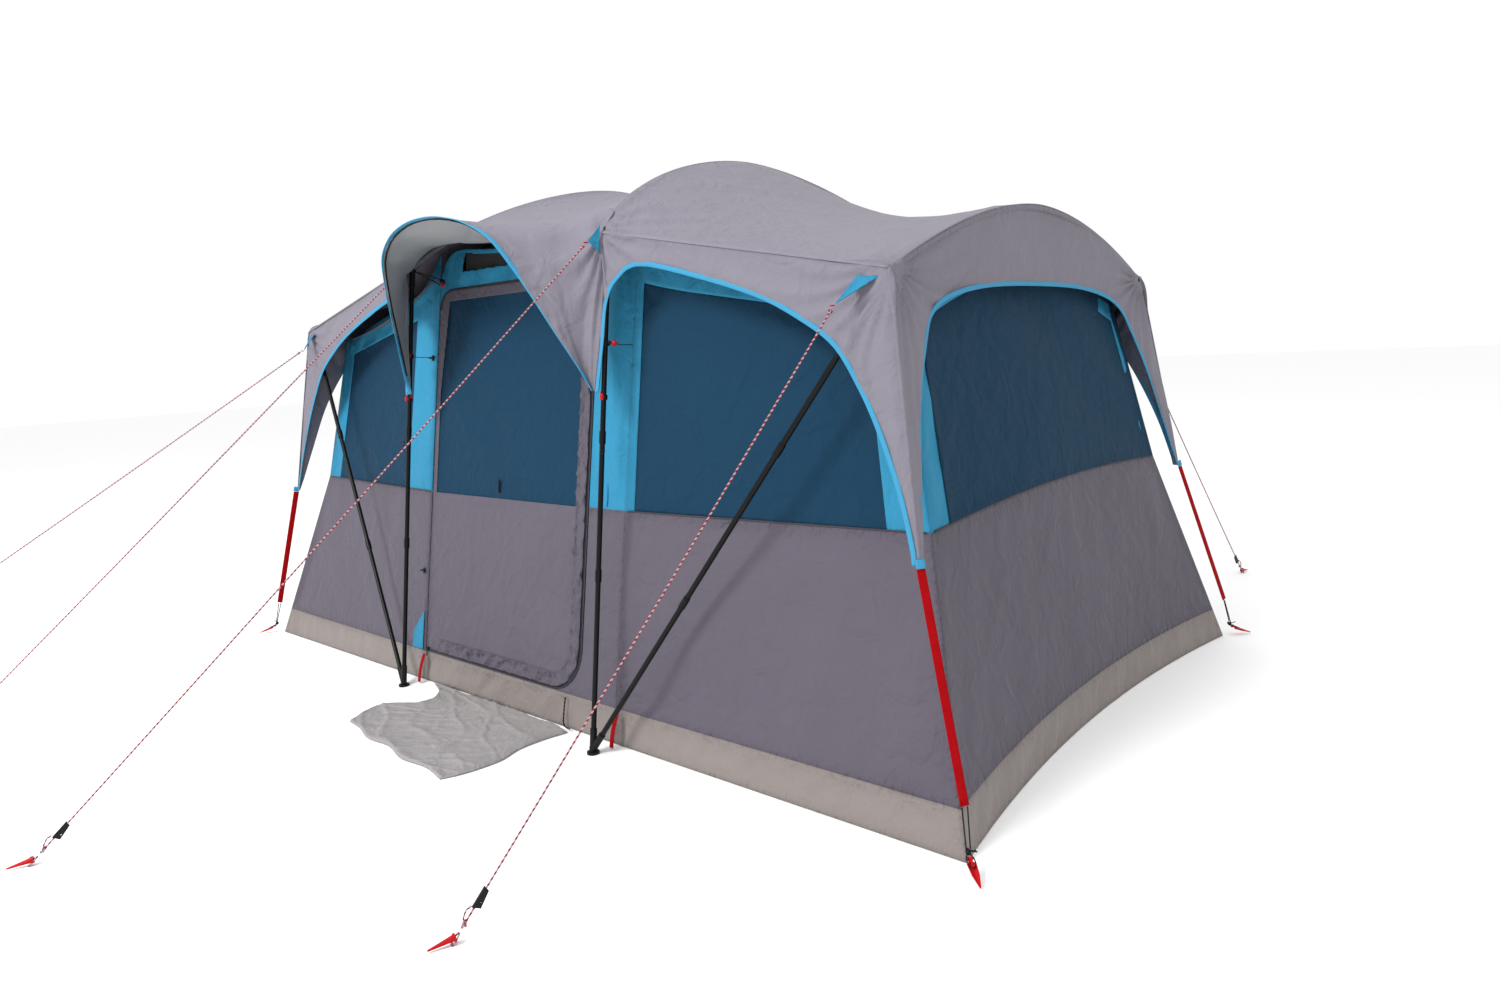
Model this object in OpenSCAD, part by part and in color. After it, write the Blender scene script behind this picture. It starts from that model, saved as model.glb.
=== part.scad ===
// Cabin-style tunnel tent: a bent-pole frame with four hoops on four shared feet, an inner
// cabin with a bathtub floor, windows and a door, a fly sheet with arched skirts and a front
// hood, guy ropes, straps, pegs and a door mat.
// Millimetres. X runs along the long side, the door faces -Y, +Z is up.
// The origin is on the ground, at the middle of the groundsheet.

/* [Cabin] */
// Length of the groundsheet, along X
floor_l = 4200; // [4000:10:4400]
// Depth of the groundsheet, along Y
floor_w = 2400; // [2300:10:2500]
// Height of the bathtub wall of the groundsheet
tub_h = 130; // [100:5:160]
// Height of the seam between the lower walls and the upper walls
border_z = 850; // [820:5:880]
// Thickness of every cloth panel
cloth = 2; // [1:0.5:3]

/* [Frame] */
// Distance of each pole foot from the middle, along X
foot_x = 655; // [640:5:670]
// Distance of each pole foot outside the groundsheet
foot_out = 100; // [90:5:120]
// Height of the hubs on the two middle hoops
hub_z = 1830; // [1800:5:1860]
// Height that the middle hoops rise above their hubs
crest = 376; // [360:2:400]
// Height of the hubs on the two end hoops
corner_z = 1610; // [1590:5:1630]
// Outside diameter of the steel legs
leg_d = 19; // [16:0.5:22]
// Wall thickness of the steel legs
leg_wall = 0.9; // [0.8:0.1:1.5]
// Diameter of the fibreglass rods
rod_d = 9.5; // [8:0.5:11]

/* [Door] */
// Left edge of the door, where it is hinged
door_left = -645; // [-648:1:-640]
// Right edge of the door
door_right = 445; // [420:5:460]
// Height of the door's lower edge along the slope of the wall
door_low = 140; // [138:1:150]
// Height of the door's upper edge along the slope of the wall
door_high = 1765; // [1740:5:1780]

/* [Ropes] */
// Diameter of the guy ropes
rope_d = 4; // [3:0.5:5]
// Width of the webbing straps
strap_w = 25; // [20:1:30]

/* [Hidden] */
$fn = 32;

GREY = [0.57, 0.55, 0.59];
DARK_GREY = [0.44, 0.42, 0.46];
CYAN = [0.29, 0.66, 0.82];
BLUE = [0.18, 0.32, 0.43];
BEIGE = [0.61, 0.58, 0.55];
BLACK = [0.08, 0.08, 0.09];
RED = [0.75, 0.06, 0.1];
ROPE = [0.86, 0.55, 0.58];

half_l = floor_l / 2;
half_w = floor_w / 2;
eps = 0.1;             // running clearance between a pole and its socket
gap = 3;               // clear strip between two neighbouring cloth panels
foot_y = half_w + foot_out;
hub_y = 1040;          // half the span of the middle hoops at their hubs
corner_x = 1775;
corner_y = 980;
end_crest = 235;       // rise of the end hoops above their hubs
wall_lean = atan(0.165);            // lean of the front and back walls between the hoops
border_corner = [1865, 948];        // corner of the cabin at the height of the seam
top_corner = [1709, 843, 1560];     // top corner of the cabin
wall_top_z = 1780;                  // top of the front wall at the middle hoops
wall_peak_z = 1880;                 // top of the front wall in the middle, under the hood
end_rise = 230;                     // rise of the end walls above their top corners

// ---- points, curves and cloth ----

function lerp(a, b, s) = a + (b - a) * s;
function bilerp(q, u, v) = lerp(lerp(q[0], q[1], u), lerp(q[3], q[2], u), v);
function unit(v) = v / norm(v);
function flip_x(p) = [-p[0], p[1], p[2]];
function flip_y(p) = [p[0], -p[1], p[2]];
function steps(n) = [for (i = [0:n]) i / n];

// A point on the smooth curve through pts, for s from 0 to 1
function along(pts, s) =
    let (n = len(pts) - 1, k = min(floor(s * n), n - 1), r = s * n - k,
         b = pts[k], c = pts[k + 1],
         a = k > 0 ? pts[k - 1] : 2 * b - c, d = k < n - 1 ? pts[k + 2] : 2 * c - b)
    b + 0.5 * r * (c - a + r * (2 * a - 5 * b + 4 * c - d + r * (3 * (b - c) + d - a)));

// The grid of points where spot(u, v) is sampled
function grid_of(us, vs, spot) = [for (u = us) [for (v = vs) spot(u, v)]];

// The unit normal of a grid of points at one of them
function grid_normal(g, i, j) =
    let (n = len(g) - 1, m = len(g[0]) - 1)
    unit(cross(g[min(i + 1, n)][j] - g[max(i - 1, 0)][j],
               g[i][min(j + 1, m)] - g[i][max(j - 1, 0)]));

// Cloth over a grid of points, from low to high along its normal.
// keep(i, j) says whether a cell of the grid is cloth or an opening.
module sheet(g, low, high, keep = function(i, j) true) {
    n = len(g) - 1;
    m = len(g[0]) - 1;
    points = [for (side = [high, low]) for (i = [0:n]) for (j = [0:m])
        g[i][j] + side * grid_normal(g, i, j)];
    at = function(side, i, j) (side * (n + 1) + i) * (m + 1) + j;
    here = function(i, j) i >= 0 && i < n && j >= 0 && j < m && keep(i, j);
    rim = function(i, j, k, l) [
        [at(0, i, j), at(0, k, l), at(1, k, l)], [at(0, i, j), at(1, k, l), at(1, i, j)]];
    faces = [for (i = [0:n - 1]) for (j = [0:m - 1]) if (here(i, j)) each concat(
        [[at(0, i, j), at(0, i, j + 1), at(0, i + 1, j + 1)],
         [at(0, i, j), at(0, i + 1, j + 1), at(0, i + 1, j)],
         [at(1, i, j), at(1, i + 1, j + 1), at(1, i, j + 1)],
         [at(1, i, j), at(1, i + 1, j), at(1, i + 1, j + 1)]],
        here(i, j - 1) ? [] : rim(i, j, i + 1, j),
        here(i + 1, j) ? [] : rim(i + 1, j, i + 1, j + 1),
        here(i, j + 1) ? [] : rim(i + 1, j + 1, i, j + 1),
        here(i - 1, j) ? [] : rim(i, j + 1, i, j))];
    polyhedron(points = points, faces = faces, convexity = 6);
}

// A round rod swept along points, with sides corners
module sweep(pts, d, sides = 8) {
    n = len(pts) - 1;
    ring = function(k)
        let (t = unit(pts[min(k + 1, n)] - pts[max(k - 1, 0)]),
             side = abs(t[0]) < 0.9 ? unit(cross(t, [1, 0, 0])) : unit(cross(t, [0, 1, 0])),
             other = cross(t, side))
        [for (c = [0:sides - 1])
            pts[k] + d / 2 * (cos(360 * c / sides) * side + sin(360 * c / sides) * other)];
    points = [for (k = [0:n]) each ring(k)];
    faces = concat(
        [[for (c = [0:sides - 1]) c]],
        [for (k = [0:n - 1]) for (c = [0:sides - 1]) let (e = (c + 1) % sides)
            each [[k * sides + c, (k + 1) * sides + c, (k + 1) * sides + e],
                  [k * sides + c, (k + 1) * sides + e, k * sides + e]]],
        [[for (c = [sides - 1:-1:0]) n * sides + c]]);
    polyhedron(points = points, faces = faces, convexity = 6);
}

// Turns +Z to point from a to b, with the origin at a
module aim(a, b) {
    v = b - a;
    translate(a)
        rotate([0, acos(v[2] / norm(v)), atan2(v[1], v[0])])
            children();
}

module rod(a, b, d) aim(a, b) cylinder(h = norm(b - a), d = d);

module tube(a, b, d, wall) aim(a, b)
    difference() {
        cylinder(h = norm(b - a), d = d);
        translate([0, 0, -1])
            cylinder(h = norm(b - a) + 2, d = d - 2 * wall);
    }

module both_x() { children(); mirror([1, 0, 0]) children(); }
module both_y() { children(); mirror([0, 1, 0]) children(); }

// ---- frame ----

foot = [foot_x, -foot_y, 14];
hub = [foot_x, -hub_y, hub_z];
corner = [corner_x, -corner_y, corner_z];
socket = 42;            // distance from a joint's centre to a pole's end
crest_in = 220;         // how far the middle hoops lean in at the crest
rod_start = 18;         // distance from a hub's centre to the end of its rod
// The middle hoops lean towards each other as they rise
roof_arc = function(t) let (rise = pow(max(0, 1 - pow(abs(cos(180 * t)), 1.8)), 0.8))
    [foot_x - crest_in * rise, -hub_y * cos(180 * t), hub_z + crest * rise];
end_arc = function(t) [corner_x, -corner_y * cos(180 * t),
    corner_z + end_crest * (1 - pow(abs(cos(180 * t)), 1.8))];
leg_up = unit(hub - foot);
stay_up = unit(corner - foot);

// A point on a front leg at a height
function on_leg(z) = foot + leg_up * (z - foot[2]) / leg_up[2];

// A bent rod along an arc, from inside one hub's socket to the opposite one
module arched_rod(arc, centre) {
    start = centre + rod_start * unit(arc(1 / 12) - centre);
    sweep(concat([start], [for (k = [2:22]) arc(k / 24)], [flip_y(start)]), rod_d, 10);
}

module legs() color(BLACK) both_x()
    tube(foot + socket * leg_up, hub - 15 * leg_up, leg_d, leg_wall);

module stays() color(BLACK) both_x()
    tube(foot + socket * stay_up, corner - 20 * stay_up, leg_d, leg_wall);

module legs_front() legs();
module legs_back() mirror([0, 1, 0]) legs();
module stays_front() stays();
module stays_back() mirror([0, 1, 0]) stays();

module roof_arcs() color(BLACK) both_x()
    arched_rod(roof_arc, hub);

module end_arcs() color(BLACK) both_x()
    arched_rod(end_arc, corner);

// A plastic hub: a ball with a socket for the leg and one for the rod
module hub_body(centre, leg_dir, rod_to) {
    rod_dir = unit(rod_to - centre);
    difference() {
        union() {
            translate(centre)
                sphere(d = 32);
            rod(centre, centre - 75 * leg_dir, leg_d + 7);
            rod(centre, centre + 60 * rod_dir, rod_d + 9);
        }
        rod(centre - 12 * leg_dir, centre - 76 * leg_dir, leg_d + 2 * eps);
        rod(centre + (rod_start - 1) * rod_dir, centre + 62 * rod_dir, rod_d + 3);
    }
}

module middle_hubs() color(BLACK) both_y() both_x()
    hub_body(hub, leg_up, roof_arc(1 / 12));

module corner_hubs() color(BLACK) both_y() both_x()
    hub_body(corner, stay_up, end_arc(1 / 12));

module pole_feet() color(BLACK) both_y() both_x() difference() {
    union() {
        translate([foot_x, -foot_y, 0])
            cylinder(h = 8, d = 46);
        translate([foot_x, -foot_y, 4])
            cylinder(h = 22, d = 26);
        rod(foot, foot + 78 * leg_up, leg_d + 6);
        rod(foot, foot + 78 * stay_up, leg_d + 6);
    }
    rod(foot + (socket - 1) * leg_up, foot + 80 * leg_up, leg_d + 2 * eps);
    rod(foot + (socket - 1) * stay_up, foot + 80 * stay_up, leg_d + 2 * eps);
    translate([foot_x, -foot_y, -20])
        cube([100, 100, 40], center = true);
}

// Collars where the sections of each leg join
module leg_ferrules() color(BLACK) both_y() both_x() {
    for (z = [640, 1130])
        tube(on_leg(z - 22), on_leg(z + 22), leg_d + 5, 2.5 - eps);
    for (s = [0.36, 0.68])
        tube(lerp(foot, corner, s - 0.011), lerp(foot, corner, s + 0.011), leg_d + 5, 2.5 - eps);
}

// ---- groundsheet and cabin walls ----

module groundsheet() color(BEIGE)
    linear_extrude(height = cloth)
        polygon([for (side = [1, -1]) for (t = [-1:0.25:1])
            side * [half_l - 6 - (pull_in - 2) * (1 - t * t), (half_w - 4) * t]]);

mid_x = foot_x;
function wall_y(z) = -half_w + z * tan(wall_lean);
// Corners of the right front bay: below the seam, then above it
bay_low = [[mid_x, -half_w, 0], [half_l, -half_w, 0],
    [border_corner[0], -border_corner[1], border_z], [mid_x, wall_y(border_z), border_z]];
bay_high = [[mid_x, wall_y(border_z), border_z], [border_corner[0], -border_corner[1], border_z],
    flip_y(top_corner), [mid_x, wall_y(wall_top_z), wall_top_z]];
border_rise = 35;       // rise of the seam in the middle of the end walls
pull_in = 110;          // how far the end walls are drawn in at the ground

bay_low_at = function(u, v) bilerp(bay_low, u, v);
bay_high_at = function(u, v) bilerp(bay_high, u, v);
// The end walls are drawn in along the ground and rise in the middle of the seam
end_low_at = function(u, v)
    let (a = bilerp(bay_low, 1, v), t = 2 * u - 1, c = 1 - t * t)
    [a[0] - c * lerp(pull_in, 0.27 * border_rise, v), -a[1] * t, a[2] + border_rise * v * c];
end_high_at = function(u, v)
    let (a = bilerp(bay_high, 1, v), t = 2 * u - 1,
         rise = lerp(border_rise * (1 - t * t), end_rise * (1 - pow(abs(t), 1.8)), v))
    [a[0] - 0.24 * rise, -a[1] * t, a[2] + rise];
tub_v = tub_h / border_z;

module bay(us, vs, spot, low = 0, high = cloth, keep = function(i, j) true)
    sheet(grid_of(us, vs, spot), low, high, keep);

// Places a flat outline on the leaning wall between the middle hoops, seen from the front
module on_front(low, high) translate([0, -half_w, 0])
    rotate([90 - wall_lean, 0, 0])
        translate([0, 0, low])
            linear_extrude(height = high - low)
                children();

module centre_tub() on_front(0, cloth)
    translate([-mid_x, 3])
        square([2 * mid_x, tub_h / cos(wall_lean) - 3]);

module tub_walls() color(BEIGE) both_y() {
    both_x()
        bay(steps(4), [3 / border_z, tub_v], bay_low_at);
    centre_tub();
    both_x() intersection() {
        bay(steps(8), [3 / border_z, tub_v], end_low_at);
        translate([0, -half_w * 2, -1])
            cube([half_l * 2, half_w * 2, 300]);
    }
}

module wall_low_bays() both_x()
    bay([0, 0.25, 0.5, 0.75, 0.998], [tub_v + 0.002, 0.33, 0.66, 0.998], bay_low_at);

slope = 1 / cos(wall_lean);         // length along the wall for each unit of height
seam_s = border_z * slope;
opening_gap = 5;

// Outline of the door, inset by a distance; the hinged edge is straight
function arc(cx, cy, r, from, to) = [for (k = [0:6]) let (a = lerp(from, to, k / 6))
    [cx + r * cos(a), cy + r * sin(a)]];
function door_outline(inset) = concat(
    [[door_left + inset, door_low + inset]],
    arc(door_right - 170, door_low + 170, 170 - inset, 270, 360),
    arc(door_right - 90, door_high - 90, 90 - inset, 0, 90),
    arc(door_left + 90, door_high - 90, 90 - inset, 90, 180));

module wall_front_lower() color(DARK_GREY) {
    wall_low_bays();
    on_front(0, cloth) difference() {
        translate([-mid_x, tub_h * slope + 1])
            square([2 * mid_x - 1, seam_s - tub_h * slope - 2]);
        polygon(door_outline(-opening_gap));
    }
}

module wall_back_lower() color(DARK_GREY) mirror([0, 1, 0]) {
    wall_low_bays();
    on_front(0, cloth)
        translate([-mid_x + 0.5, tub_h * slope + 1])
            square([2 * mid_x - 1, seam_s - tub_h * slope - 2]);
}

// Windows reach from the seam to this share of the upper wall
window_top = 0.87;
window_to = 0.883;      // outer edge of the bay windows, as a share of the bay
left_from = 0.2;        // inner edge of the front left window
right_from = 0.04;      // inner edge of the other bay windows

function bay_grid(from) = [0.002, from, lerp(from, window_to, 0.34), lerp(from, window_to, 0.67),
    window_to, 0.998];
window_vs = [0.002, 0.3, 0.6, window_top, 0.998];

module upper_bay(from)
    bay(bay_grid(from), window_vs, bay_high_at,
        keep = function(i, j) !(i > 0 && i < 4 && j < 3));

module bay_window(from) color(BLUE)
    bay([from - 0.012, lerp(from, window_to, 0.5), window_to + 0.012],
        [-0.015, 0.3, 0.6, window_top + 0.015], bay_high_at, -cloth - 0.5, -0.5);

module centre_top(peak)
    polygon(concat([[-mid_x + 1, seam_s + 1], [mid_x - 1, seam_s + 1]],
        [for (x = [mid_x - 1, 640, 600, 500, 250, 0, -250, -500, -600, -640, 1 - mid_x])
            [x, lerp(wall_top_z, peak + 50 * pow(x / 600, 2), 1 - pow(abs(x) / (mid_x - 1), 12)) * slope]]));

vent_low = 1811 * slope;
module vent_outline(grow) polygon([[-480 - 2 * grow, vent_low - grow], [480 + 2 * grow, vent_low - grow],
    [440 + grow, (wall_peak_z + 10) * slope + grow], [220, (wall_peak_z - 12) * slope + grow],
    [0, (wall_peak_z - 17) * slope + grow], [-220, (wall_peak_z - 12) * slope + grow],
    [-440 - grow, (wall_peak_z + 10) * slope + grow]]);

module wall_front_upper() color(CYAN) {
    upper_bay(right_from);
    mirror([1, 0, 0]) upper_bay(left_from);
    on_front(0, cloth) difference() {
        centre_top(wall_peak_z);
        polygon(door_outline(-opening_gap));
        vent_outline(0);
    }
}

back_window = [[-560, seam_s], [560, seam_s], [540, 1690], [-540, 1690]];
module wall_back_upper() color(CYAN) mirror([0, 1, 0]) {
    both_x() upper_bay(right_from);
    on_front(0, cloth) difference() {
        centre_top(wall_peak_z);
        polygon(back_window);
        vent_outline(0);
    }
}

module windows_back() color(BLUE) mirror([0, 1, 0]) {
    both_x() bay_window(right_from);
    on_front(-cloth - 0.5, -0.5)
        polygon([[-572, seam_s - 12], [572, seam_s - 12], [552, 1702], [-552, 1702]]);
}

module roof_vents() color(BLACK) both_y() on_front(-cloth - 0.5, -0.5) vent_outline(8);

module window_front_left() mirror([1, 0, 0]) bay_window(left_from);
module window_front_right() bay_window(right_from);

end_us = [0.002, 0.07, 0.26, 0.42, 0.58, 0.74, 0.975, 0.998];
module end_lower() color(DARK_GREY)
    bay(end_us, [tub_v + 0.002, 0.33, 0.66, 0.998], end_low_at);
// The window of the right end wall leaves a band of wall at the front corner only
module end_upper() color(CYAN)
    bay(end_us, [0.002, 0.4, 0.82, 0.998], end_high_at,
        keep = function(i, j) !(i > 0 && i < 6 && j < 2));
module end_window() color(BLUE)
    bay([0.06, 0.26, 0.42, 0.58, 0.74, 0.985], [0.004, 0.4, 0.835], end_high_at,
        -cloth - 0.5, -0.5);

module wall_right_lower() end_lower();
module wall_left_lower() mirror([1, 0, 0]) end_lower();
module wall_right_upper() end_upper();
module wall_left_upper() mirror([1, 0, 0]) end_upper();
module window_right() end_window();
module window_left() mirror([1, 0, 0]) end_window();

// ---- roofs, shared by the inner roof and the fly ----

sag = 115;              // hollow between two hoops, at the ridge
// drop lowers the roof, shrink pulls it in at the eaves
roof_bay = function(drop, shrink) function(u, v)
    let (a = roof_arc(v), b = end_arc(v), p = lerp(a, b, u), c = 1 - pow(abs(2 * v - 1), 3))
    [p[0], p[1] * (1 - shrink), p[2] - drop - 4 * sag * u * (1 - u) * c];
roof_middle = function(drop, shrink) function(u, v)
    let (a = roof_arc(v), c = 1 - pow(abs(2 * v - 1), 3))
    [(1 - 2 * u) * a[0], a[1] * (1 - shrink), a[2] - drop - 4 * 95 * u * (1 - u) * c];

module inner_roof() color(GREY) {
    both_x()
        bay([0.004, 0.25, 0.5, 0.75, 0.9], concat([0.145], [for (k = [2:10]) k / 12], [0.855]),
            roof_bay(75, 0.06), -cloth, 0);
    bay([0, 0.25, 0.5, 0.75, 1], [for (k = [2:10]) k / 12], roof_middle(75, 0.06), -cloth, 0);
}

// ---- fly sheet ----

over = 12;              // height of the fly above the rods' centre lines
roof_out = 0.018;       // how far the roof reaches out to the skirts, as a share of its width
roof_vs = concat([0, 0.03], [for (k = [1:11]) k / 12], [0.97, 1]);
// Front hem of the right bay, from the clip on the leg to the tip of the corner leg: X and Z
hem_xz = [[648, 1290], [664, 1450], [676, 1600], [722, 1675], [825, 1712], [1080, 1650],
    [1320, 1572], [1475, 1497], [1605, 1410], [1695, 1290], [1768, 1160], [1840, 995],
    [1888, 845], [1900, 790]];
skirt_y = function(x, z) -1331 + 0.0831 * (x - foot_x) + 0.15 * z;
hem_front = [for (p = hem_xz) [p[0], skirt_y(p[0], p[1]), p[1]]];
tip = [1922, -1106, 790];
eave_hub = hub + [0, -24, 14];
eave_corner = corner + [12, -22, 12];
seam_low = [632, skirt_y(632, 1290), 1290];
// Upper edge of the same skirt, point for point
eave_front = concat(
    [seam_low, [646, skirt_y(646, 1480), 1480], [foot_x, skirt_y(foot_x, 1690), 1690], eave_hub],
    [for (s = [0.16, 0.4, 0.66, 0.84]) lerp(eave_hub, eave_corner, s)],
    [for (s = [0, 0.22, 0.42, 0.66, 0.9, 1]) lerp(eave_corner, tip, s)]);
// End hem, from the front tip to the crest: Y and Z
hem_yz = [[-1095, 790], [-1068, 860], [-1020, 1000], [-935, 1230], [-830, 1410], [-760, 1490],
    [-620, 1540], [-365, 1572], [0, 1580]];
hem_end_half = [for (p = hem_yz) [1766 + 0.2 * (1578 - p[1]), p[0], p[1]]];
hem_end = concat(hem_end_half, [for (k = [len(hem_yz) - 2:-1:0]) flip_y(hem_end_half[k])]);
eave_end_half = concat(
    [for (s = [1, 0.9, 0.7, 0.4, 0.15, 0]) lerp(eave_corner, tip, s) + [2.5 * gap, 0, 0]],
    [for (t = [0.22, 0.36, 0.5]) end_arc(t) + [12, 0, over + 4]]);
eave_end = concat(eave_end_half, [for (k = [7:-1:0]) flip_y(eave_end_half[k])]);

function loft(top, hem, puff) = function(u, v)
    let (a = along(top, u), b = along(hem, u)) lerp(a, b, v) + puff * 4 * v * (1 - v);

module fly_side() color(GREY) {
    bay([0.006, 0.1, 0.2, 0.33, 0.5, 0.75, 0.994], roof_vs, roof_bay(-over, -roof_out), 0, cloth);
    both_y()
        bay(steps(26), [0.02, 0.33, 0.66, 1], loft(hem_front, eave_front, [0, 0, 0]), 0, cloth);
    bay(steps(32), [0.02, 0.33, 0.66, 1], loft(hem_end, eave_end, [0, 0, 0]), -cloth, 0);
}

module fly_right() fly_side();
module fly_left() mirror([1, 0, 0]) fly_side();

// Portal behind the hood: up a leg, up the roof hoop and across to the other side
hood_lift = 20;         // degrees that the hood's arch leans forward
hood_base = [0, skirt_y(640, 1290), 1290];
function hood_point(x, r) = hood_base + [x, -r * sin(hood_lift), r * cos(hood_lift)];
hood_hem_half = [[620, 6], [585, 110], [535, 230], [482, 365], [430, 480], [362, 590], [250, 660],
    [125, 695], [0, 705]];
over_middle = roof_middle(-over, -roof_out);
portal_v = 0.19;        // where the hood meets the middle roof, along the hoop
portal_half = concat(
    [[619, seam_low[1], 1296], [634, skirt_y(646, 1480), 1480],
     [foot_x - 5 * gap, skirt_y(foot_x, 1690), 1690], [foot_x - 5 * gap, eave_hub[1], hub_z + 6]],
    [for (v = [0.07, 0.14]) over_middle(0, v) - [3 * gap, 0, 0]],
    [for (u = [0.1, 0.3, 0.5]) over_middle(u, portal_v)]);
hood_hem = concat([for (p = hood_hem_half) hood_point(p[0], p[1])],
    [for (k = [7:-1:0]) hood_point(-hood_hem_half[k][0], hood_hem_half[k][1])]);
portal = concat(portal_half, [for (k = [7:-1:0]) flip_x(portal_half[k])]);

module hood_canopy() color(GREY)
    bay(steps(36), [0.02, 0.25, 0.5, 0.75, 1], loft(hood_hem, portal, [0, 0, 0]), 0, cloth);

// The thin rod in the hood's hem
module hood_arch() color(BLACK)
    sweep([for (k = [2:34]) along(hood_hem, k / 36) + [0, 14, -7]], 7, 8);

// Back skirt between the middle hoops, mirrored from an arched front one
arch_hem_half = [[-620, 1295], [-612, 1450], [-598, 1560], [-580, 1590], [-556, 1614], [-520, 1640],
    [-260, 1690], [0, 1700]];
arch_top_half = [[-622, 1300], [-630, 1480], [-642, 1690], [-642, 1800], [-636, 1830], [-590, 1829],
    [-330, 1828], [0, 1827]];
function hang(p) = [p[0], p[1] > 1800 ? eave_hub[1] : skirt_y(foot_x, p[1]), p[1]];
function whole(half) = concat(half, [for (k = [len(half) - 2:-1:0]) [-half[k][0], half[k][1]]]);
module fly_middle() color(GREY) {
    bay([0.005, 0.25, 0.5, 0.75, 0.995],
        concat([portal_v + 0.006], [for (k = [3:11]) k / 12], [0.97, 1]), over_middle, -cloth, 0);
    mirror([0, 1, 0])
        bay(steps(30), [0.02, 0.33, 0.66, 1],
            loft([for (p = whole(arch_hem_half)) hang(p)], [for (p = whole(arch_top_half)) hang(p)], [0, 0, 0]),
            -cloth, 0);
}

// ---- door ----

module door_panel() color(DARK_GREY) on_front(0, cloth) difference() {
    polygon(door_outline(0));
    polygon(door_window_outline(0));
}

function door_window_outline(grow) = [[door_left + 25 - grow, seam_s - grow],
    [door_right - 50 + grow, seam_s - grow], [door_right - 62 + grow, door_high - 48 + grow],
    [door_left + 75 - grow, door_high - 48 + grow], [door_left + 28 - grow, 1290]];

module door_window() color(BLUE) on_front(-cloth, 0)
    polygon(door_window_outline(10));

module door_zip_tape() color(BLACK) on_front(cloth, cloth + 1.5) difference() {
    polygon(door_outline(2));
    polygon(door_outline(18));
    translate([door_left - 1, door_low + 18])
        square([40, 2000]);
}

// A wrinkled flap that lies beside the zip, along the bottom and up the free edge
module door_storm_flap() color(GREY) on_front(cloth, cloth + 4) difference() {
    polygon(door_outline(24));
    polygon(door_outline(64));
    translate([door_left - 1, door_low + 64])
        square([800, 2000]);
}

slider_z = cloth + 1.8;
module slider() {
    linear_extrude(height = 6) difference() {
        square([14, 11], center = true);
        circle(d = 3);
    }
    translate([0, 0, 6])
        linear_extrude(height = 2) difference() {
            translate([-4, -34])
                square([8, 36]);
            translate([0, -29])
                circle(d = 4);
        }
}
module on_door(x, s) translate([0, -half_w, 0])
    rotate([90 - wall_lean, 0, 0])
        translate([x, s, slider_z])
            children();
slider_start = [door_left + 22, door_low + 10];
module zip_slider_low() color(BLACK) on_door(slider_start[0], slider_start[1]) slider();
module zip_slider_side() color(BLACK) on_door(door_right - 10, door_high - 130) slider();

// ---- small fittings of the cabin ----

module on_wall(x, s, out) translate([0, -half_w, 0])
    rotate([90 - wall_lean, 0, 0])
        translate([x, s, out])
            children();

// Barrels and loops beside the hinged edge that hold the rolled-back door
module tie_back_toggles() color(BLACK) for (s = [497, 1466]) {
    on_wall(-694, s - 12, cloth)
        cube([12, 24, 3]);
    on_wall(-688, s, cloth + 3 + 4.5)
        rotate([0, 90, 0])
            cylinder(h = 32, d = 9, center = true);
}

// A ring around a leg, with a lug; a positive reach points towards the cabin
module leg_ring(z, reach) {
    p = on_leg(z);
    aim(p, p + 16 * leg_up) difference() {
        union() {
            cylinder(h = 16, d = leg_d + 8);
            translate([min(0, reach), -4, 2])
                cube([abs(reach), 8, 12]);
        }
        translate([0, 0, -1])
            cylinder(h = 18, d = leg_d + 2 * eps);
    }
}

// Clips on the legs: the lower ones hold the fly, the upper ones hook the cabin out to the legs
clip_z = 1262;
hook_z = 1450;
module pole_clips() color(RED) both_y() both_x() {
    leg_ring(clip_z, -20);
    leg_ring(hook_z, 20);
    rod(on_leg(hook_z + 8) + [0, 16, 2], [foot_x, wall_y(hook_z) - 5, hook_z], 6);
}

// Shock cords from the middle hubs to the top of the cabin, each with a hook
bungee_hook = [585, -940, 1778];
module hub_bungees() color(BLACK) both_y() both_x() {
    rod(hub + [-14, 12, -6], bungee_hook + [8, 0, 10], 5);
    rod(hub + [4, 18, -4], [mid_x - 15, wall_y(1770) - 5, 1768], 5);
    translate(bungee_hook)
        sphere(d = 24);
}

// ---- guy points, straps, pegs and ropes ----

// A flat triangle of cloth between three points
module triangle(p, q, r, t) {
    n = t / 2 * unit(cross(q - p, r - p));
    polyhedron([p + n, q + n, r + n, p - n, q - n, r - n],
        [[0, 2, 1], [3, 4, 5], [0, 1, 4], [0, 4, 3], [1, 2, 5], [1, 5, 4], [2, 0, 3], [2, 3, 5]]);
}

corner_guy = [1663, -1098, 1528];   // where the corner ropes are tied
hub_guy = [640, -1122, 1812];       // where the ropes of the middle hubs are tied
module guy_tabs() color(CYAN) both_y() both_x() {
    triangle([1758, -1013, 1600], [1690, -1027, 1606], corner_guy, cloth);
    triangle([foot_x, -1076, 1868], [foot_x, -1090, 1772], hub_guy, cloth);
}

// The ring that ties a rope to its tab
module tie_ring(p) translate(p)
    rotate_extrude()
        translate([6, 0])
            circle(d = 4);
module guy_rings() color(RED) both_y() both_x() {
    tie_ring(corner_guy + [-4, -10, -6]);
    tie_ring(hub_guy + [-2, -10, -5]);
}

// Flat webbing from a to b, with its width level
module webbing(a, b, w) aim(a, b)
    translate([-1, -w / 2, 0])
        cube([2, w, norm(b - a)]);

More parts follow.
